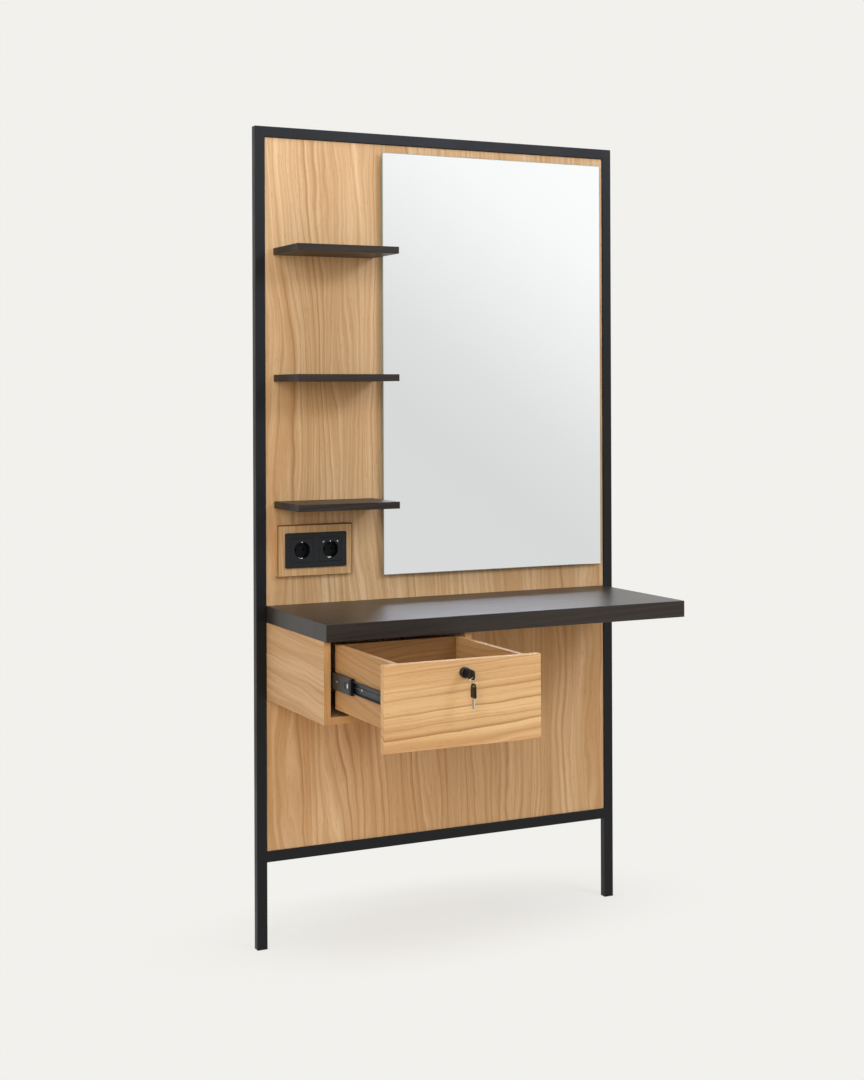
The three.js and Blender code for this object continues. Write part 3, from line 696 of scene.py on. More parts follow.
    def step(self, test: FaceTest, inset: float, move: Point) -> "Workpiece":
        """Insets the faces that pass, then extrudes the inner ones by `move`.

        Args:
            test: takes a face's centre and normal.
            inset: the rim left standing.
            move: where the inner faces go.

        Returns:
            The piece.
        """
        with self.editing():
            self.pick_faces(test)
            if inset:
                bpy.ops.mesh.inset(thickness=inset)
            bpy.ops.mesh.extrude_region_move(TRANSFORM_OT_translate={"value": tuple(move)})
        return self

    def slice_at(self, axis: int, places: Sequence[float]) -> "Workpiece":
        """Cuts new edges right round the piece at these places along an axis.

        Args:
            axis: 0, 1 or 2.
            places: where, along that axis.

        Returns:
            The piece.
        """
        normal = [0.0, 0.0, 0.0]
        normal[axis] = 1.0
        with self.editing():
            for place in places:
                bpy.ops.mesh.select_all(action="SELECT")
                bpy.ops.mesh.bisect(plane_co=[place * n for n in normal], plane_no=normal)
        return self

    def cut_with(self, *tools: "Workpiece") -> "Workpiece":
        """Cuts the tools' shapes out of the piece and throws the tools away.

        Args:
            *tools: the tools.

        Returns:
            The piece.
        """
        for tool in tools:
            self._boolean(tool, "DIFFERENCE")
        return self

    def fuse_with(self, *others: "Workpiece") -> "Workpiece":
        """Makes the others one solid with the piece.

        Args:
            *others: the pieces to take in, which are used up.

        Returns:
            The piece.
        """
        for other in others:
            self._boolean(other, "UNION")
        return self

    def keep_within(self, other: "Workpiece") -> "Workpiece":
        """Keeps only what lies within the other's shape.

        Args:
            other: the shape to keep within, which is used up.

        Returns:
            The piece.
        """
        self._boolean(other, "INTERSECT")
        return self

    def _boolean(self, other: "Workpiece", operation: str) -> None:
        """Adds, takes away or intersects with another piece, which is used up."""
        self.apply("BOOLEAN", operation=operation, object=other.obj, solver="EXACT")
        bpy.data.objects.remove(other.obj)

    def join(self, *others: "Workpiece") -> "Workpiece":
        """Keeps the others as loose parts of this piece, with their own finishes.

        Args:
            *others: the pieces to take in.

        Returns:
            The piece.
        """
        self.activate()
        for other in others:
            other.obj.select_set(True)
        bpy.ops.object.join()
        return self

    def apply(self, kind: str, **settings: Any) -> "Workpiece":
        """Adds a modifier with these settings and applies it.

        Args:
            kind: the modifier's type.
            **settings: its settings.

        Returns:
            The piece.
        """
        self.activate()
        modifier = self.obj.modifiers.new(kind.lower(), kind)
        for name, value in settings.items():
            setattr(modifier, name, value)
        bpy.ops.object.modifier_apply(modifier=modifier.name)
        return self

    def copy(self, name: str, move: Point) -> "Workpiece":
        """A copy with its own mesh, moved.

        Args:
            name: the copy's name.
            move: how far it is moved.

        Returns:
            The copy.
        """
        obj = self.obj.copy()
        obj.data = self.obj.data.copy()
        obj.location = move
        bpy.context.scene.collection.objects.link(obj)
        return Workpiece(name, obj)

    def repeat(self, nodes: Sequence[str], ending: str) -> list["Workpiece"]:
        """This piece and its copies, one at each of several CAD nodes of the same shape.

        Args:
            nodes: the CAD nodes. The piece already stands at the first.
            ending: what a node's name gets to make its piece's name.

        Returns:
            The pieces, in the nodes' order.
        """
        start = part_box(nodes[0])[0]
        return [self, *(self.copy(node + ending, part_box(node)[0] - start) for node in nodes[1:])]

    def cross_recess(self, top: Point, out: Point, arm: float, thickness: float, depth: float) -> "Workpiece":
        """Sinks a cross recess into a screw's head.

        Args:
            top: the middle of the head's top.
            out: the way the head faces, as a unit vector along an axis.
            arm: half the length of an arm of the cross.
            thickness: half the width of an arm.
            depth: how deep the recess goes.

        Returns:
            The piece.
        """
        way, middle = Vector(out), Vector(top)
        axes = [Vector(axis) for axis in ((1, 0, 0), (0, 1, 0), (0, 0, 1))]
        sides = [axis for axis in axes if abs(axis.dot(way)) < 0.5]
        for long_side, short_side in (sides, sides[::-1]):
            reach = long_side * arm + short_side * thickness
            self.cut_with(Workpiece.block("cross", middle - way * depth - reach, middle + way * MM + reach))
        return self

    def paint(self, finish: str, faces: Optional[FaceTest] = None) -> "Workpiece":
        """Gives the whole piece a finish, or only the faces that pass.

        Args:
            finish: the name of the finish.
            faces: takes a face's centre and normal.

        Returns:
            The piece.
        """
        mesh = self.obj.data
        mesh.materials.append(FINISH[finish])
        slot = len(mesh.materials) - 1
        for face in mesh.polygons:
            if faces is None or faces(face.center, face.normal):
                face.material_index = slot
        return self

    def done(self, body: str, slot: str, replaces: Sequence[str] = (), smooth: float = 35.0) -> None:
        """Smooths the shading and puts the piece on its body.

        The normals are weighted by face area, so that flat faces shade and mirror truly flat and only the
        rounded edges turn.

        Args:
            body: the body that carries it.
            slot: the record's material slot; not used.
            replaces: CAD nodes that it stands for.
            smooth: edges duller than this many degrees are shaded smooth.
        """
        self.activate()
        bpy.ops.object.shade_smooth_by_angle(angle=math.radians(smooth))
        self.apply("WEIGHTED_NORMAL", mode="FACE_AREA", weight=100, keep_sharp=True)
        pieces = bpy.context.scene.collection.objects  # taken out and put back, which lists it last
        pieces.unlink(self.obj)
        pieces.link(self.obj)
        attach(self.obj, body)
        if replaces:
            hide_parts(*replaces)
        LOG.info("%s rides on %s", self.obj.name, body)


def dress_node(node: str, finish: str) -> None:
    """Gives a CAD node that stays in view its finish."""
    for slot in frame["nodes"][node].material_slots:
        slot.material = FINISH[finish]


def on_plane(axis: int, place: float) -> EdgeTest:
    """A test for edges that lie in the plane at `place` along an axis."""
    return lambda a, b: abs(a[axis] - place) < HAIR and abs(b[axis] - place) < HAIR


def along(axis: int) -> EdgeTest:
    """A test for edges that run along an axis."""
    return lambda a, b: all(abs(a[i] - b[i]) < HAIR for i in range(3) if i != axis)


# ---- Sub-assemblies ----------------------------------------------------------------------------------

@dataclass
class SteelFrame:
    """Two posts and two rails of rectangular tube, welded, ground flush and powder coated, on glides."""

    corner: float = 1.6 * MM
    tube_wall: float = 1.5 * MM
    glide_stem: float = 19 * MM
    glide_play: float = 0.3 * MM  # between the glide's foot and the tube's end
    glide_edge: float = 0.9 * MM
    stem_inset: float = 2.2 * MM
    posts: tuple[str, str] = ("frame_post_left", "frame_post_right")
    rails: tuple[str, str] = ("frame_lower_rail", "frame_top_rail")
    feet: tuple[str, str] = ("foot_glide_left", "foot_glide_right")

    def build(self) -> None:
        """Makes the weldment and its glides."""
        self.weldment()
        self.glides()

    def weldment(self) -> None:
        """Joins two posts with the rails that bridge them, then rounds every long edge."""
        boxes = [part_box(node) for node in self.posts]
        piece, right = (Workpiece.block(node, *box) for node, box in zip(self.posts, boxes))
        piece.join(right)
        piece.obj.name = "frame_weldment"
        foot = boxes[0][0].z
        inner_faces = (boxes[0][1].x, boxes[1][0].x)
        spans = [(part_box(rail)[0].z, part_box(rail)[1].z) for rail in self.rails]
        piece.slice_at(2, [spans[0][0], spans[0][1], spans[1][0]])
        with piece.editing():
            for low, high in spans:
                piece.pick_faces(lambda c, n: low < c.z < high and abs(n.x) > 0.9
                                 and min(abs(c.x - x) for x in inner_faces) < HAIR)
                bpy.ops.mesh.bridge_edge_loops()
        piece.bevel_edges(self.corner, 3, lambda a, b: max(a.z, b.z) > foot + HAIR)
        hollow = (0, 0, self.glide_stem + MM)
        piece.step(lambda c, n: n.z < -0.9 and abs(c.z - foot) < HAIR, self.tube_wall, hollow)
        piece.paint("powder").done("root", "frame_steel", (*self.posts, *self.rails))

    def glides(self) -> None:
        """Feet with a soft lower edge and a plug that fills the tube."""
        low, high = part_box(self.feet[0])
        flange_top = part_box(self.posts[0])[0].z - self.glide_play
        left = Workpiece.block(f"{self.feet[0]}_moulded", low, (high.x, high.y, flange_top))
        left.bevel_edges(self.glide_edge, 3, lambda a, b: min(a.z, b.z) < low.z + HAIR)
        left.step(facing(2, 1), self.stem_inset, (0, 0, self.glide_stem)).paint("key")
        for piece, node in zip(left.repeat(self.feet, "_moulded"), self.feet):
            piece.done("root", "black_plastic", (node,))


@dataclass
class Panel:
    """The wood back panel, with the plates that tie it to the posts and hang it on the wall."""

    plate_edge: float = 0.35 * MM
    cross: Triple = (2.3 * MM, 0.45 * MM, 1.4 * MM)  # arm, thickness and depth
    corners: tuple[str, ...] = ("lower_left", "lower_right", "upper_left", "upper_right")

    def build(self) -> None:
        """Dresses the panel, and works up its plates and screws."""
        dress_node("back_panel", "panel")
        for corner, screw in zip(self.corners, self.screws()):
            node = f"wall_plate_{corner}"
            plate = Workpiece.from_node(f"{node}_pressed", node).bevel_edges(self.plate_edge, 2, sharper=60)
            plate.paint("zinc").done("root", "zinc_steel", (node,))
            screw.done("root", "zinc_steel", (f"panel_screw_{corner}",))

    def screws(self) -> list[Workpiece]:
        """Countersunk screws with a cross recess in their heads, which face the wall.

        Returns:
            The four screws, not yet on a body.
        """
        nodes = [f"panel_screw_{corner}" for corner in self.corners]
        low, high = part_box(nodes[0])
        head = ((low.x + high.x) / 2, high.y, (low.z + high.z) / 2)
        first = Workpiece.from_node(f"{nodes[0]}_cross", nodes[0])
        return first.cross_recess(head, (0, 1, 0), *self.cross).paint("zinc").repeat(nodes, "_cross")


@dataclass
class Mirror:
    """A frameless pane with a polished arris, standing off the panel on a smaller board."""

    arris: float = 2.0 * MM

    def build(self) -> None:
        """Makes the pane and dresses its backing. Its lower arris mirrors the pale floor as a thin line."""
        pane = Workpiece.block("mirror_pane", *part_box("mirror_glass")).bevel_edges(self.arris, 2)
        pane.paint("mirror")
        pane.paint("glass_edge", lambda c, n: abs(n.y) < 0.95 and not (n.y < -0.2 and n.z < -0.2))
        pane.paint("mirror_back", facing(1, 1)).done("root", "mirror_glass", ("mirror_glass",))
        dress_node("mirror_backing", "fibre")


@dataclass
class LaminateBoard:
    """One laminated board with softened edges and, where `band` is set, edge band on the faces that pass."""

    node: str
    body: str
    slot: str
    finish: str
    arris: float = 0.5 * MM
    band: Optional[FaceTest] = None

    def cut_out(self) -> Workpiece:
        """Works the board up from its CAD solid, which has its holes and pockets.

        Returns:
            The board, not yet on a body.
        """
        piece = Workpiece.from_node(f"{self.node}_board", self.node)
        low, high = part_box(self.node)

        def outer(a: Vector, b: Vector) -> bool:
            """Edges of the board itself, not those of its holes."""
            gaps = [min(abs(v[i] - low[i]), abs(v[i] - high[i])) for v in (a, b) for i in range(3)]
            return max(gaps) < HAIR

        piece.bevel_edges(self.arris, 3, outer)
        piece.paint(self.finish)
        if self.band:
            piece.paint("edge_band", self.band)
        return piece

    def build(self) -> None:
        """Makes the board and puts it on its body."""
        self.cut_out().done(self.body, self.slot, (self.node,))


@dataclass
class Shelves:
    """Three smoked oak shelves on hidden supports."""

    arris: float = 0.7 * MM
    levels: tuple[str, ...] = ("lower", "middle", "upper")

    def build(self) -> None:
        """Makes the shelves and dresses their supports."""
        nodes = [f"shelf_{level}" for level in self.levels]
        first = LaminateBoard(nodes[0], "root", "dark_wood", "shelf", self.arris).cut_out()
        for piece, node in zip(first.repeat(nodes, "_board"), nodes):
            piece.done("root", "dark_wood", (node,))
            dress_node(node.replace("shelf", "shelf_support"), "zinc")


@dataclass
class Worktop:
    """The thick smoked oak top, its strike plate and the two angle brackets under its free end."""

    arris: float = 1.0 * MM
    screw_head: float = 4.2 * MM
    screw_places: tuple[float, ...] = (0.12, 0.5, 0.8)  # as shares of a bracket's reach
    bracket_end: float = 6 * MM
    bracket_edge: float = 0.4 * MM
    bracket_sheet: float = 4 * MM
    brackets: tuple[str, ...] = ("worktop_bracket_middle", "worktop_bracket_right")

    def build(self) -> None:
        """Makes the top and its steel."""
        LaminateBoard("worktop", "root", "dark_wood", "worktop", self.arris).build()
        dress_node("lock_strike", "zinc")
        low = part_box(self.brackets[0])[0]
        first = Workpiece.from_node(f"{self.brackets[0]}_pressed", self.brackets[0])
        first.bevel_edges(self.bracket_end, 5, lambda a, b: along(2)(a, b) and abs(a.y - low.y) < HAIR)
        first.bevel_edges(self.bracket_edge, 2, sharper=60).paint("powder")
        for piece, node in zip(first.repeat(self.brackets, "_pressed"), self.brackets):
            piece.done("root", "frame_steel", (node,))
            self.screws(node)

    def screws(self, node: str) -> None:
        """The screws that go up through one bracket into the top.

        Args:
            node: the bracket's CAD node.
        """
        low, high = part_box(node)
        seats = [((low.x + high.x) / 2, low.y + (high.y - low.y) * share, high.z - self.bracket_sheet)
                 for share in self.screw_places]
        for head in pan_heads(f"{node}_screw", seats, (0, 0, -1), self.screw_head):
            head.done("root", "zinc_steel")


def pan_heads(name: str, seats: Sequence[Point], out: Point, radius: float,
              rise: float = 0.55) -> list[Workpiece]:
    """Domed screw heads with cross recesses. One is made, and the others are its copies.

    Args:
        name: their name, which gets a number.
        seats: the middle of each one's seat.
        out: the way they face, as a unit vector along an axis.
        radius: their radius.
        rise: their height as a share of the radius.

    Returns:
        The heads, not yet on a body.
    """
    way, seat = Vector(out), Vector(seats[0])
    height = rise * radius
    top = seat + way * height
    first = Workpiece.rod(f"{name}_0", seat, top, radius, 24)
    first.bevel_edges(height * 0.75, 4, lambda a, b: min((a - top).dot(way), (b - top).dot(way)) > -HAIR)
    first.cross_recess(top, out, radius * 0.5, radius * 0.1, height * 0.6).paint("zinc")
    return [first, *(first.copy(f"{name}_{n}", Vector(place) - seat) for n, place in enumerate(seats) if n)]


@dataclass
class Cabinet:
    """The drawer's housing: two sides and a bottom under the worktop, with edge band on the front edges."""

    boards: tuple[str, ...] = ("cabinet_side_left", "cabinet_side_right", "cabinet_bottom")

    def build(self) -> None:
        """Makes the three boards."""
        for node in self.boards:
            LaminateBoard(node, "root", "light_wood", "cabinet", band=facing(1, -1)).build()


@dataclass
class Drawer:
    """The drawer box and its overlay front."""

    front_arris: float = 0.6 * MM

    def build(self) -> None:
        """Makes its boards."""
        LaminateBoard("drawer_front", "drawer", "light_wood", "drawer_front", self.front_arris).build()
        for node in ("drawer_side_left", "drawer_side_right"):
            LaminateBoard(node, "drawer", "light_wood", "drawer_box").build()
        # The back board's finish is painted shade, darker for the shade inside the drawer.
        LaminateBoard("drawer_back", "drawer", "light_wood", "drawer_back").build()
        dress_node("drawer_bottom", "fibre")


@dataclass
class BallSlide:
    """One full-extension ball slide: three pressed members, two ball cages, stops, catches and screws."""

    side: str
    sheet: float = 1.2 * MM
    rolled: float = 0.35 * MM
    hole: float = 2.6 * MM
    hole_gap: float = 14 * MM  # from a screw to the spare hole beside it
    screw_seat: float = 0.5 * MM  # the flat heads' seat, from the outer face of the web
    outer_screw: Size = (2.4 * MM, 0.35)  # radius, and height as a share of it
    inner_screw: float = 2.6 * MM
    places: tuple[float, ...] = (0.12, 0.5, 0.88)  # of the outer member's screws, as shares of its length
    window: Triple = (26 * MM, 33 * MM, 7 * MM)  # from, to, and half its height
    slot_starts: tuple[float, ...] = (70 * MM, 130 * MM)
    slot_size: Size = (16 * MM, 2.5 * MM)  # length, and half its height
    catch: Triple = (14.5 * MM, 20.5 * MM, 4.5 * MM)
    stop: Triple = (-1.5 * MM, 9 * MM, 7.2 * MM)  # from, to, and how far it stands in
    bead: Size = (1.3 * MM, 3.2 * MM)  # height, and half its width
    cage_sheet: float = 0.6 * MM
    ball_out: float = 1.04  # a ball's radius, as a share of its distance from the strip's edge
    balls: tuple[tuple[str, int, float], ...] = (("outer", 5, 1.6 * MM), ("inner", 4, 1.35 * MM))

    def build(self) -> None:
        """Makes the slide from the cabinet's side to the drawer's."""
        self.inward = 1 if self.side == "left" else -1
        self.outer()
        self.middle()
        self.inner()
        for which, count, radius in self.balls:
            self.cage(f"ball_cage_{which}_{self.side}", count, radius)

    def member(self, node: str) -> Workpiece:
        """A pressed channel with its long edges rolled."""
        return Workpiece.from_node(f"{node}_pressed", node).bevel_edges(self.rolled, 2, along(1))

    def outer(self) -> None:
        """The fixed member, with its mounting holes and flat-headed screws."""
        node = f"slide_outer_{self.side}"
        low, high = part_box(node)
        web = low.x if self.inward > 0 else high.x
        z = (low.z + high.z) / 2
        places = [low.y + share * (high.y - low.y) for share in self.places]
        holes = [Workpiece.rod("hole", (web - self.sheet * 2, y + self.hole_gap, z),
                               (web + self.sheet * 2, y + self.hole_gap, z), self.hole, 20) for y in places]
        self.member(node).cut_with(*holes).paint("slide").done("root", "slide_steel", (node,))
        seats = [(web + self.inward * self.screw_seat, y, z) for y in places]
        for head in pan_heads(f"{node}_screw", seats, (self.inward, 0, 0), *self.outer_screw):
            head.done("root", "zinc_steel")

    def middle(self) -> None:
        """The middle member, with a window, slots, a bright catch and a plastic stop at its front end."""
        node = f"slide_middle_{self.side}"
        low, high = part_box(node)
        web = low.x if self.inward > 0 else high.x
        z = (low.z + high.z) / 2

        def opening(start: float, end: float, half: float) -> Workpiece:
            """A tool for an opening in the web."""
            return Workpiece.block("opening", (web - 2 * MM, start, z - half), (web + 2 * MM, end, z + half))

        start, end, half = self.window
        length, half_slot = self.slot_size
        slots = [low.y + place for place in self.slot_starts] + [high.y - 40 * MM]
        piece = self.member(node).cut_with(opening(low.y + start, low.y + end, half),
                                           *(opening(y, y + length, half_slot) for y in slots))
        piece.paint("slide").done(node, "slide_steel", (node,))

        start, end, half = self.catch
        catch = Workpiece.block(f"{node}_catch", (web + self.inward * self.sheet, low.y + start, z - half),
                                (web - self.inward * 0.5 * MM, low.y + end, z + half))
        catch.bevel_edges(1.2 * MM, 3, along(0)).bevel_edges(0.2 * MM, 2)
        catch.paint("nickel").done(node, "bright_steel")
        start, end, depth = self.stop
        play = 1.6 * MM
        stop = Workpiece.block(f"{node}_stop", (web - self.inward * 0.5 * MM, low.y + start, low.z + play),
                               (web + self.inward * depth, low.y + end, high.z - play))
        stop.bevel_edges(0.8 * MM, 3).paint("socket_deep").done(node, "black_plastic")

    def inner(self) -> None:
        """The drawer's member, with a raised bead along its web and its screws."""
        node = f"slide_inner_{self.side}"
        low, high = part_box(node)
        web = high.x if self.inward > 0 else low.x
        z = (low.z + high.z) / 2
        face = web - self.inward * self.sheet
        height, half = self.bead
        bead = Workpiece.block("bead", (face - self.inward * height, low.y + 4 * MM, z - half),
                               (face + self.inward * 0.2 * MM, high.y - 30 * MM, z + half))
        bead.bevel_edges(1.2 * MM, 3).paint("slide")
        self.member(node).paint("slide").join(bead).done("drawer", "slide_steel", (node,))
        on_bead = face - self.inward * self.sheet
        seats = [(on_bead, low.y + 12 * MM, z), (on_bead, low.y + 150 * MM, z), (face, high.y - 18 * MM, z)]
        for head in pan_heads(f"{node}_screw", seats, (-self.inward, 0, 0), self.inner_screw):
            head.done("drawer", "zinc_steel")

    def cage(self, node: str, count: int, radius: float) -> None:
        """The strip that spaces the balls, and its round balls.

        Args:
            node: the cage's CAD node and body.
            count: how many balls each of its two rows has.
            radius: a ball's radius.
        """
        low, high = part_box(node)
        edge = high.x if self.inward > 0 else low.x
        ball_x = edge - self.inward * (radius + 0.5 * MM)
        margin = radius + self.cage_sheet
        hollow = Workpiece.block("hollow", (edge + self.inward * MM, low.y - MM, low.z + margin),
                                 (edge - self.inward * (high.x - low.x - self.cage_sheet), high.y + MM,
                                  high.z - margin))
        piece = Workpiece.block(f"{node}_strip", low, high).cut_with(hollow)
        piece.bevel_edges(0.2 * MM, 2).paint("zinc")
        pitch = (high.y - low.y) / count
        places = [Vector((ball_x, low.y + (n + 0.5) * pitch, z))
                  for n in range(count) for z in (low.z + radius, high.z - radius)]
        first = Workpiece.ball("ball", places[0], radius * self.ball_out).paint("nickel")
        copies = [first.copy("ball", place - places[0]) for place in places[1:]]
        piece.join(first, *copies).done(node, "zinc_steel", (node,))


@dataclass
class CamLock:
    """The drawer's cam lock: black rosette, plug, cam and nut, with the key in it, its ring and a spare."""

    thread_pitch: float = 1.25 * MM
    groove: float = 8.1 * MM
    groove_wire: float = 0.45 * MM
    barrel: float = 7.95 * MM
    play: float = 0.3 * MM  # round the plug, and between the rosette and the drawer's front
    rim: float = 2.4 * MM
    lip: float = 1.4 * MM
    dish: float = 0.7 * MM
    cross: Triple = (2.6 * MM, 0.5 * MM, 1.5 * MM)  # arm, thickness and depth
    nut_bore: float = 8.3 * MM
    nut_chamfer: float = 0.95  # the chamfering cone's radius, as a share of the nut's

    def build(self) -> None:
        """Makes the lock from the front to the cam, then the keys."""
        low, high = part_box("lock_housing")
        self.x, self.z = (low.x + high.x) / 2, (low.z + high.z) / 2
        self.front, self.rear = low.y, high.y
        self.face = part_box("drawer_front")[0].y
        self.housing()
        self.plug()
        self.hardware()
        Key.from_node("key_in_lock").build("lock_plug")
        Key.from_node("spare_key").build("spare_key")
        self.ring()

    def at(self, y: float) -> tuple[float, float, float]:
        """The point on the lock's axis at that depth."""
        return self.x, y, self.z

    def housing(self) -> None:
        """A rosette with a rolled rim and a threaded barrel behind it."""
        low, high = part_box("lock_housing")
        plug_low, plug_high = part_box("lock_plug")
        radius = (high.x - low.x) / 2
        bore = (plug_high.x - plug_low.x) / 2 + self.play
        head = Workpiece.rod("lock_housing_turned", self.at(self.front), self.at(self.face - self.play),
                             radius, 64)
        head.bevel_edges(self.rim, 5, on_plane(1, self.front))
        head.step(lambda c, n: n.y < -0.99, radius - self.rim - bore - self.lip, (0, self.dish, 0))
        head.fuse_with(Workpiece.rod("barrel", self.at(self.face - MM), self.at(self.rear), self.barrel, 48))
        turns = int((self.rear - self.face - 2 * MM) / self.thread_pitch) // 2
        head.cut_with(*(Workpiece.ring("groove", self.at(self.rear - (n + 0.8) * self.thread_pitch),
                                       self.groove, self.groove_wire, (math.pi / 2, 0, 0), (48, 6))
                        for n in range(turns)))
        head.cut_with(Workpiece.rod("bore", self.at(self.front - MM), self.at(self.rear + MM), bore, 48))
        head.paint("lock").done("drawer", "lock_black", ("lock_housing",), 40)

    def plug(self) -> None:
        """The turning plug, with a chamfered mouth and its keyway."""
        piece = Workpiece.from_node("lock_plug_turned", "lock_plug")
        piece.bevel_edges(0.35 * MM, 2, on_plane(1, self.front), 60)
        piece.paint("lock").done("lock_plug", "lock_black", ("lock_plug",), 40)

    def hardware(self) -> None:
        """The cam, its screw and the barrel's nut."""
        cam = Workpiece.from_node("lock_cam_pressed", "lock_cam").bevel_edges(0.25 * MM, 2, sharper=60)
        cam.paint("zinc").done("lock_plug", "zinc_steel", ("lock_cam",))
        screw = Workpiece.from_node("cam_screw_cross", "cam_screw")
        screw.cross_recess(self.at(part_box("cam_screw")[1].y), (0, 1, 0), *self.cross)
        screw.paint("zinc").done("lock_plug", "zinc_steel", ("cam_screw",))
        low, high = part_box("lock_nut")
        radius = (high.z - low.z) / 2
        start, end = self.at(low.y - MM), self.at(high.y + MM)
        nut = Workpiece.rod("lock_nut_hex", self.at(low.y), self.at(high.y), radius, 6)
        nut.keep_within(Workpiece.rod("chamfer", start, end, radius * self.nut_chamfer, 48))
        nut.cut_with(Workpiece.rod("bore", start, end, self.nut_bore, 48))
        nut.bevel_edges(0.3 * MM, 2, sharper=50)
        nut.paint("zinc").done("drawer", "zinc_steel", ("lock_nut",))

    def ring(self) -> None:
        """A split ring: two turns of flat-sided wire, side by side."""
        low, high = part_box("key_ring")
        centre = (low + high) / 2
        wire = (high.y - low.y) / 2
        radius = (high.x - low.x) / 2 - wire
        turns = [Workpiece.ring("key_ring_split", (centre.x, centre.y + side * wire / 2, centre.z), radius,
                                wire * 0.56, (math.pi / 2, 0, 0)) for side in (-1, 1)]
        turns[0].fuse_with(turns[1]).paint("nickel").done("key_ring", "bright_steel", ("key_ring",), 60)


@dataclass
class Key:
    """A flat key with a moulded bow. Lengths along it are taken from the bow's end."""

    node: str
    low: Vector
    high: Vector
    hanging: bool
    bow_length: float = 29 * MM
    slot_inset: float = 5 * MM
    slot_half: float = 5.5 * MM
    slot_width: float = 3.2 * MM
    web: float = 2.6 * MM
    end_round: float = 6.5 * MM
    foot_round: float = 1.8 * MM
    pad: Triple = (11 * MM, 0.6 * MM, 1.3 * MM)  # the web left bare at the end, at the blade and at each side
    shoulder: float = 4 * MM
    shoulder_size: Size = (5.5 * MM, 2.2 * MM)  # half its width, and its thickness
    blade_size: Size = (3.75 * MM, 2 * MM)
    tip: float = 2.6 * MM
    notch: float = 1.5 * MM
    bitting: tuple[Size, ...] = ((7.5 * MM, 1.2 * MM), (10 * MM, 0.6 * MM), (12.5 * MM, 1.5 * MM),
                                 (15 * MM, 0.9 * MM))  # each notch's place and depth

    @classmethod
    def from_node(cls, node: str) -> "Key":
        """Reads the key's place from its CAD solid; the longer of its two sides is its length."""
        low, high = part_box(node)
        return cls(node, low, high, hanging=high.z - low.z > high.y - low.y)

    def spot(self, length: float, across: float, x: float) -> Vector:
        """The point this far from the bow's end, this far across from the middle, and x from its plane.

        Args:
            length: from the bow's end.
            across: from the middle line.
            x: from the key's mid plane.

        Returns:
            The point.
        """
        middle = (self.low + self.high) / 2
        if self.hanging:
            return Vector((middle.x + x, middle.y + across, self.high.z - length))
        return Vector((middle.x + x, self.low.y + length, middle.z + across))

    def bar(self, name: str, length: Point, across: float, thickness: float) -> Workpiece:
        """A block between two places along the key, centred across it.

        Args:
            name: the piece's name.
            length: the two places, from the bow's end.
            across: half its width.
            thickness: its thickness.

        Returns:
            The block.
        """
        return Workpiece.block(name, self.spot(length[0], -across, -thickness / 2),
                               self.spot(length[1], across, thickness / 2))

    def build(self, body: str) -> None:
        """Makes bow and blade as one piece with two finishes.

        Args:
            body: the body that carries the key.
        """
        self.run = 2 if self.hanging else 1
        size = self.high - self.low
        self.total = size[self.run]
        bow = self.bow(size[3 - self.run] / 2, size.x)
        bow.join(self.blade()).done(body, "black_plastic", (self.node,), 40)

    def across_at(self, length: float) -> EdgeTest:
        """A test for edges through the key's thickness, this far from the bow's end."""
        place = self.spot(length, 0, 0)[self.run]
        return lambda a, b: along(0)(a, b) and abs(a[self.run] - place) < HAIR

    def bow(self, half: float, thick: float) -> Workpiece:
        """The moulded bow: a thin web with rounded ends, a thicker pad and a slot for the ring.

        Args:
            half: half its width.
            thick: the pad's thickness.

        Returns:
            The bow, painted.
        """
        bow = self.bar(f"{self.node}_bow", (0, self.bow_length), half, self.web)
        bow.bevel_edges(self.end_round, 8, self.across_at(0))
        bow.bevel_edges(self.foot_round, 4, self.across_at(self.bow_length))
        bow.bevel_edges(0.5 * MM, 3, lambda a, b: abs(a.x - b.x) < HAIR)
        start, end, side = self.pad
        pad = self.bar("pad", (start, self.bow_length - end), half - side, thick)
        pad.bevel_edges(2.2 * MM, 5, along(0)).bevel_edges(0.9 * MM, 3, lambda a, b: abs(a.x - b.x) < HAIR)
        half_slot = self.slot_width / 2
        slot = self.bar("slot", (self.slot_inset - half_slot, self.slot_inset + half_slot), self.slot_half,
                        8 * MM)
        slot.bevel_edges(half_slot * 0.98, 5, along(0))
        return bow.fuse_with(pad).cut_with(slot).paint("key")

    def blade(self) -> Workpiece:
        """The steel blade: shoulder, tapered tip, a groove in each side and the bitting.

        Returns:
            The blade, painted.
        """
        start = self.bow_length - MM
        shoulder_end = self.bow_length + self.shoulder
        shoulder = self.bar("shoulder", (start, shoulder_end), *self.shoulder_size)
        half, thick = self.blade_size
        blade = self.bar("blade", (start, self.total), half, thick)
        blade.bevel_edges(self.tip, 3, self.across_at(self.total)).fuse_with(shoulder)
        for side in (-1, 1):
            blade.cut_with(Workpiece.block("groove", self.spot(shoulder_end, -0.8 * MM, side * 0.55 * MM),
                                           self.spot(self.total + MM, 0.6 * MM, side * 1.6 * MM)))
        for place, depth in self.bitting:
            notch = self.bow_length + place
            blade.cut_with(Workpiece.block("notch", self.spot(notch, half - depth, -2 * MM),
                                           self.spot(notch + self.notch, 5 * MM, 2 * MM)))
        return blade.paint("nickel")


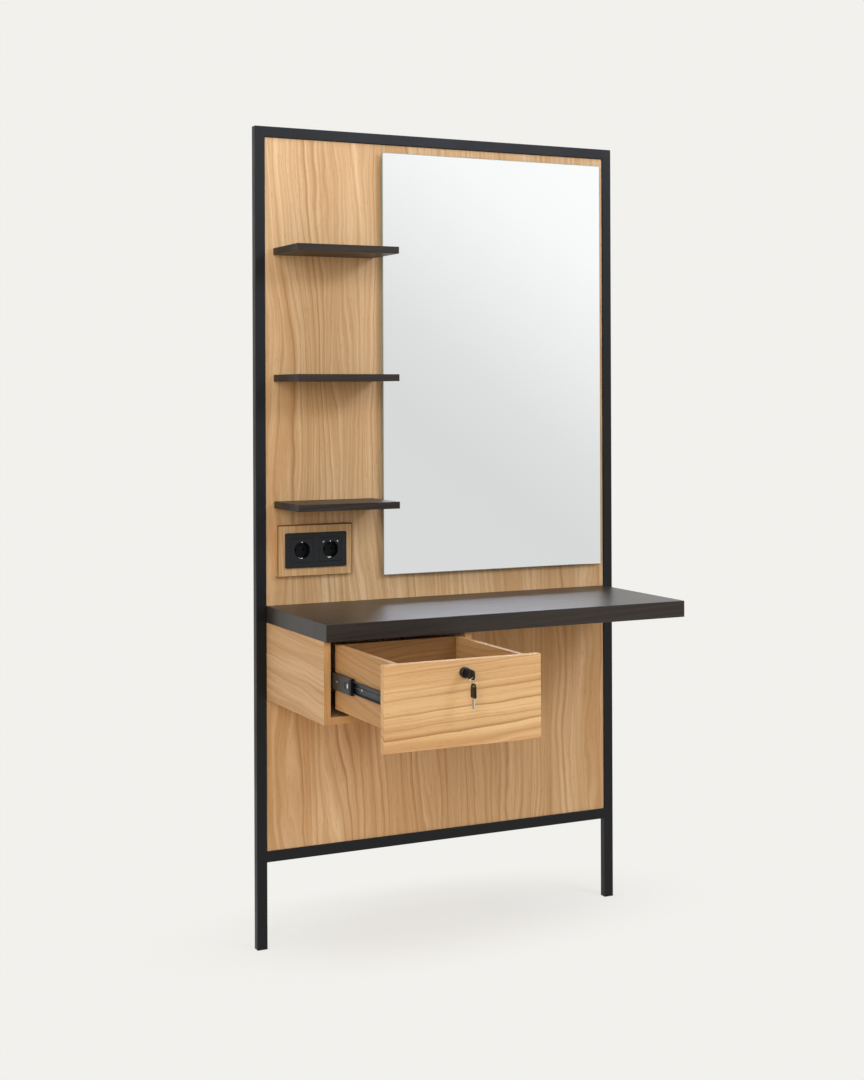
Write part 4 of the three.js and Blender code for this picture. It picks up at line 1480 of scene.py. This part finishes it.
@dataclass
class DoubleSocket:
    """Two earthed mains sockets in one plate, on a raised board, with the box behind them."""

    chamfer: float = 2.6 * MM
    well: float = 19.5 * MM
    well_depth: float = 17 * MM
    plate_round: float = 1.3 * MM
    rim: float = 4 * MM  # nearer the plate's outline than its windows are
    rib: Triple = (2.2 * MM, 2.5 * MM, 1.2 * MM)  # how far it stands in, half its width, how far it is sunk
    nose: Triple = (1.5 * MM, 0.25 * MM, 5 * MM)  # half its width, and its reach before and behind the face
    tab: Triple = (4.8 * MM, 1.1 * MM, 2.2 * MM)
    tab_place: Size = (17.7 * MM, 18.2 * MM)  # from the well's middle, across and up
    tab_lean: float = 48.0
    grommet: Size = (6.6 * MM, 1.35 * MM)  # radius of the ring and of its section

    def build(self) -> None:
        """Makes the board, the plate, both inserts and the box."""
        board = Workpiece.from_node("socket_board_raised", "socket_board")
        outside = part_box("socket_board")
        front = on_plane(1, outside[0].y)
        board.bevel_edges(self.chamfer, 1, lambda a, b: front(a, b) and self.on_rim(a, b, outside))
        # The chamfers take painted shade: a dark line for the shadow round the board.
        board.paint("socket_board").paint("shadow_gap_edge", lambda c, n: 0.2 < -n.y < 0.95)
        board.done("root", "light_wood", ("socket_board",))
        plate = Workpiece.from_node("socket_plate", "socket_frame")
        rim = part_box("socket_frame")
        face = on_plane(1, rim[0].y)
        plate.bevel_edges(self.plate_round, 4, lambda a, b: face(a, b) and self.on_rim(a, b, rim, self.rim),
                          60)
        plate.paint("socket").done("root", "socket_plastic", ("socket_frame",))
        for side in ("left", "right"):
            self.insert(side)
        self.box()

    def on_rim(self, a: Vector, b: Vector, box: tuple[Vector, Vector], margin: float = HAIR) -> bool:
        """Whether an edge is within this margin of a box's outline, seen from the front.

        Args:
            a: the edge's one end.
            b: its other end.
            box: the low and high corners.
            margin: how near counts as on it.

        Returns:
            True when both ends are near the outline.
        """
        low, high = box
        return all(min(v.x - low.x, high.x - v.x, v.z - low.z, high.z - v.z) < margin for v in (a, b))

    def insert(self, side: str) -> None:
        """An insert with a round well, guide ribs, pin holes, a centre screw and its earth strap.

        Args:
            side: left or right.
        """
        node = f"socket_insert_{side}"
        low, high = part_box(node)
        x, z, half = (low.x + high.x) / 2, (low.z + high.z) / 2, (high.x - low.x) / 2
        face = on_plane(1, low.y)

        def on_mouth(a: Vector, b: Vector) -> bool:
            """The mouth of the round well."""
            return face(a, b) and all(abs(math.hypot(v.x - x, v.z - z) - self.well) < 0.3 * MM
                                      for v in (a, b))

        def on_outline(a: Vector, b: Vector) -> bool:
            """The square outline of the insert's face."""
            return face(a, b) and all(max(abs(v.x - x), abs(v.z - z)) > half - HAIR for v in (a, b))

        piece = Workpiece.from_node(f"{node}_moulded", node)
        piece.bevel_edges(0.5 * MM, 3, on_mouth, 60).bevel_edges(0.4 * MM, 2, on_outline, 60).paint("socket")
        # Painted shade: the well's inner faces and its ribs are near black, for the shade inside the well.
        piece.paint("socket_deep", lambda c, n: math.hypot(c.x - x, c.z - z) < self.well + HAIR
                    and c.y > low.y + 0.6 * MM)
        inset, half_rib, sunk = self.rib
        for sign in (-1, 1):
            rib = Workpiece.block("rib", (x + sign * (self.well - inset), low.y + sunk, z - half_rib),
                                  (x + sign * (self.well + MM), low.y + self.well_depth + MM, z + half_rib))
            piece.join(rib.bevel_edges(0.5 * MM, 2).paint("socket_deep"))
        piece.done("root", "socket_plastic", (node,))
        node = f"earth_strap_{side}"
        strap = Workpiece.from_node(f"{node}_sprung", node).bevel_edges(0.35 * MM, 2, sharper=60)
        strap.join(*self.noses(x, z, low.y)).paint("nickel").done("root", "bright_steel", (node,))
        if side == "right":
            self.tabs(x, z, low.y)

    def noses(self, x: float, z: float, face: float) -> list[Workpiece]:
        """The rounded ends of the two contacts, which show at the rim of their well.

        Args:
            x: the well's middle, across.
            z: the well's middle, in height.
            face: the insert's face, in depth.

        Returns:
            The two noses, not painted.
        """
        half, out, back = self.nose
        rise = self.well - MM
        nose = Workpiece.block("nose", (x - half, face - out, z - rise - half),
                               (x + half, face + back, z - rise + half))
        nose.bevel_edges(1.2 * MM, 4, along(1)).bevel_edges(0.5 * MM, 3)
        return [nose, nose.copy("nose", (0, 0, 2 * rise))]

    def tabs(self, x: float, z: float, face: float) -> None:
        """Two small bright tabs set in the face above the well, leaning away from it.

        Args:
            x: the well's middle, across.
            z: the well's middle, in height.
            face: the insert's face, in depth.
        """
        across, up = self.tab_place
        width, depth, height = self.tab
        for name, sign in (("left", -1), ("right", 1)):
            tab = Workpiece.block(f"socket_tab_{name}", (-width / 2, -0.5 * MM, -height / 2),
                                  (width / 2, depth - 0.5 * MM, height / 2))
            tab.bevel_edges(0.9 * MM, 4, along(1)).bevel_edges(0.25 * MM, 2)
            tab.obj.rotation_euler = Euler((0.0, math.radians(sign * self.tab_lean), 0.0))
            tab.obj.location = Vector((x + sign * across, face, z + up))
            Workpiece(f"socket_tab_{name}", tab.obj).paint("nickel").done("root", "bright_steel")

    def box(self) -> None:
        """The box behind the sockets, with a soft cable grommet in its entry."""
        box = Workpiece.from_node("socket_back_box_moulded", "socket_back_box")
        box.bevel_edges(0.5 * MM, 2, sharper=60).paint("grey")
        box.done("root", "grey_plastic", ("socket_back_box",))
        low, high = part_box("socket_back_box")
        centre = ((low.x + high.x) / 2, high.y - MM, low.z + 14 * MM)
        grommet = Workpiece.ring("cable_grommet", centre, *self.grommet, (math.pi / 2, 0, 0), (40, 12))
        grommet.paint("key").done("root", "black_plastic")


# ---- Studio ------------------------------------------------------------------------------------------

@dataclass(frozen=True)
class Lamp:
    """A soft rectangular light aimed at a point."""

    name: str
    place: Triple
    target: Triple
    size: Size
    watts: float
    tint: str = "#FFFFFF"

    def hang(self) -> None:
        """Adds it to the scene."""
        data = bpy.data.lights.new(self.name, "AREA")
        data.shape = "RECTANGLE"
        data.size, data.size_y = self.size
        data.energy = self.watts
        data.color = linear(self.tint)[:3]
        lamp = bpy.data.objects.new(self.name, data)
        lamp.location = self.place
        lamp.rotation_euler = (Vector(self.target) - Vector(self.place)).to_track_quat("-Z", "Y").to_euler()
        bpy.context.scene.collection.objects.link(lamp)


@dataclass
class Studio:
    """A pale seamless floor, soft lights and the camera."""

    lamps: tuple[Lamp, ...] = (
        Lamp("key_light", (-2.6, -4.4, 2.4), (0.0, 0.0, 1.0), (2.6, 2.6), 114.0),
        Lamp("top_light", (-0.2, -1.3, 4.0), (0.0, -0.2, 0.8), (2.6, 1.8), 36.0),
        Lamp("left_light", (-4.2, -0.9, 1.9), (0.0, -0.2, 1.0), (2.4, 2.4), 34.0),
        Lamp("right_light", (1.9, -3.4, 3.1), (0.1, -0.1, 0.8), (1.4, 0.9), 50.0, "#E6EEFF"))
    ramp: tuple[tuple[float, str], ...] = (
        (0.0, "#DCDCDC"), (0.17, "#DBDBDB"), (0.33, "#E1E1E1"), (0.43, "#E8E8E8"), (0.53, "#EFEFEF"),
        (0.63, "#F5F5F5"), (0.73, "#FBFBFB"), (0.92, "#FFFFFF"))  # what the mirror shows, from low to high
    ramp_way: Triple = (0.68, 0.361, 1.0)
    room: str = "#FFF4E4"
    room_light: float = 0.34
    paper: str = "#F2F1ED"
    floor_radius: float = 6.0  # the mirror looks past its edge
    shadow_reach: Size = (0.85, 0.38)  # metres along X and Y within which the floor takes shadows
    own_light: float = 0.60  # what the floor shines by itself, so that it stays pale everywhere
    lit: float = 0.42  # how much of the light that falls on it comes back
    bounce: str = "#BFA07C"  # what it throws back on the station: dim and warm, as from a wooden room floor

    def build(self) -> None:
        """Sets up floor, surroundings, lights and camera."""
        self.floor()
        self.surroundings()
        for lamp in self.lamps:
            lamp.hang()
        self.camera()

    def floor(self) -> None:
        """A round sheet that takes soft shadows near the station and melts into the surroundings."""
        material, tree = new_material("studio_paper")
        place = add(tree, "TexCoord").outputs["Object"]
        reach_x, reach_y = self.shadow_reach
        oval = add(tree, "Mapping", Vector=place, Scale=(1 / reach_x, 1 / reach_y, 1.0)).outputs[0]
        distance = add(tree, "VectorMath", {"operation": "LENGTH"}, at0=oval).outputs["Value"]
        fade = add(tree, "MapRange", {"interpolation_type": "SMOOTHSTEP"}, Value=distance, From_Min=0.15,
                   From_Max=1.0).outputs[0]
        bounced = add(tree, "LightPath").outputs["Is Diffuse Ray"]
        shine = add(tree, "Mix", {"data_type": "RGBA"}, at0=bounced, at6=linear(self.paper),
                    at7=linear(self.bounce)).outputs[2]
        diffuse = add(tree, "BsdfDiffuse", Color=(self.lit, self.lit, self.lit, 1.0)).outputs[0]
        low_glow = add(tree, "Emission", Color=shine, Strength=self.own_light).outputs[0]
        near = add(tree, "AddShader", at0=diffuse, at1=low_glow).outputs[0]
        far = add(tree, "Emission", Color=shine, Strength=1.0).outputs[0]
        mixed = add(tree, "MixShader", at0=fade, at1=near, at2=far).outputs[0]
        add(tree, "OutputMaterial", Surface=mixed)
        clear_selection()
        bpy.ops.mesh.primitive_circle_add(vertices=128, radius=self.floor_radius, fill_type="NGON")
        floor = bpy.context.object
        floor.name = "studio_floor"
        floor.data.materials.append(material)

    def surroundings(self) -> None:
        """Plain paper to the camera, even light on the station, and a slow gradient in its mirror."""
        world = bpy.data.worlds.new("studio_surroundings")
        world.use_nodes = True
        tree = world.node_tree
        tree.nodes.clear()
        bpy.context.scene.world = world
        way = add(tree, "TexCoord").outputs["Generated"]
        across = add(tree, "VectorMath", {"operation": "DOT_PRODUCT"}, at0=way, at1=self.ramp_way)
        level = add(tree, "MapRange", Value=across.outputs["Value"], From_Min=-0.1, From_Max=0.2).outputs[0]
        gradient = add(tree, "ValToRGB", {}, self.ramp, Fac=level).outputs[0]
        mirrored = add(tree, "Background", Color=gradient, Strength=1.0).outputs[0]
        seen = add(tree, "Background", Color=linear(self.paper), Strength=1.0).outputs[0]
        cast = add(tree, "Background", Color=linear(self.room), Strength=self.room_light).outputs[0]
        path = add(tree, "LightPath").outputs
        reflected = add(tree, "MixShader", at0=path["Is Glossy Ray"], at1=cast, at2=mirrored).outputs[0]
        whole = add(tree, "MixShader", at0=path["Is Camera Ray"], at1=reflected, at2=seen).outputs[0]
        add(tree, "OutputWorld", Surface=whole)

    def camera(self) -> None:
        """A level camera to the left of the station, with its rise set by the lens."""
        data = bpy.data.cameras.new("studio_camera")
        data.sensor_width = 36.0
        data.lens = 56.69
        data.shift_y = -0.1353
        camera = bpy.data.objects.new("studio_camera", data)
        camera.location = (-1.8287, -3.7191, 1.2804)
        camera.rotation_euler = [math.radians(angle) for angle in (90.0, 0.21, -25.97)]
        bpy.context.scene.collection.objects.link(camera)
        bpy.context.scene.camera = camera


def main() -> None:
    """Builds the studio and every sub-assembly in order."""
    logging.basicConfig(level=logging.INFO, format="%(message)s")
    bpy.context.scene.view_settings.view_transform = "Standard"
    Studio().build()
    for part in (SteelFrame(), Panel(), Mirror(), Shelves(), Worktop(), Cabinet(), Drawer(),
                 BallSlide("left"), BallSlide("right"), CamLock(), DoubleSocket()):
        LOG.info("building %s", type(part).__name__)
        part.build()


if __name__ == "__main__":
    main()
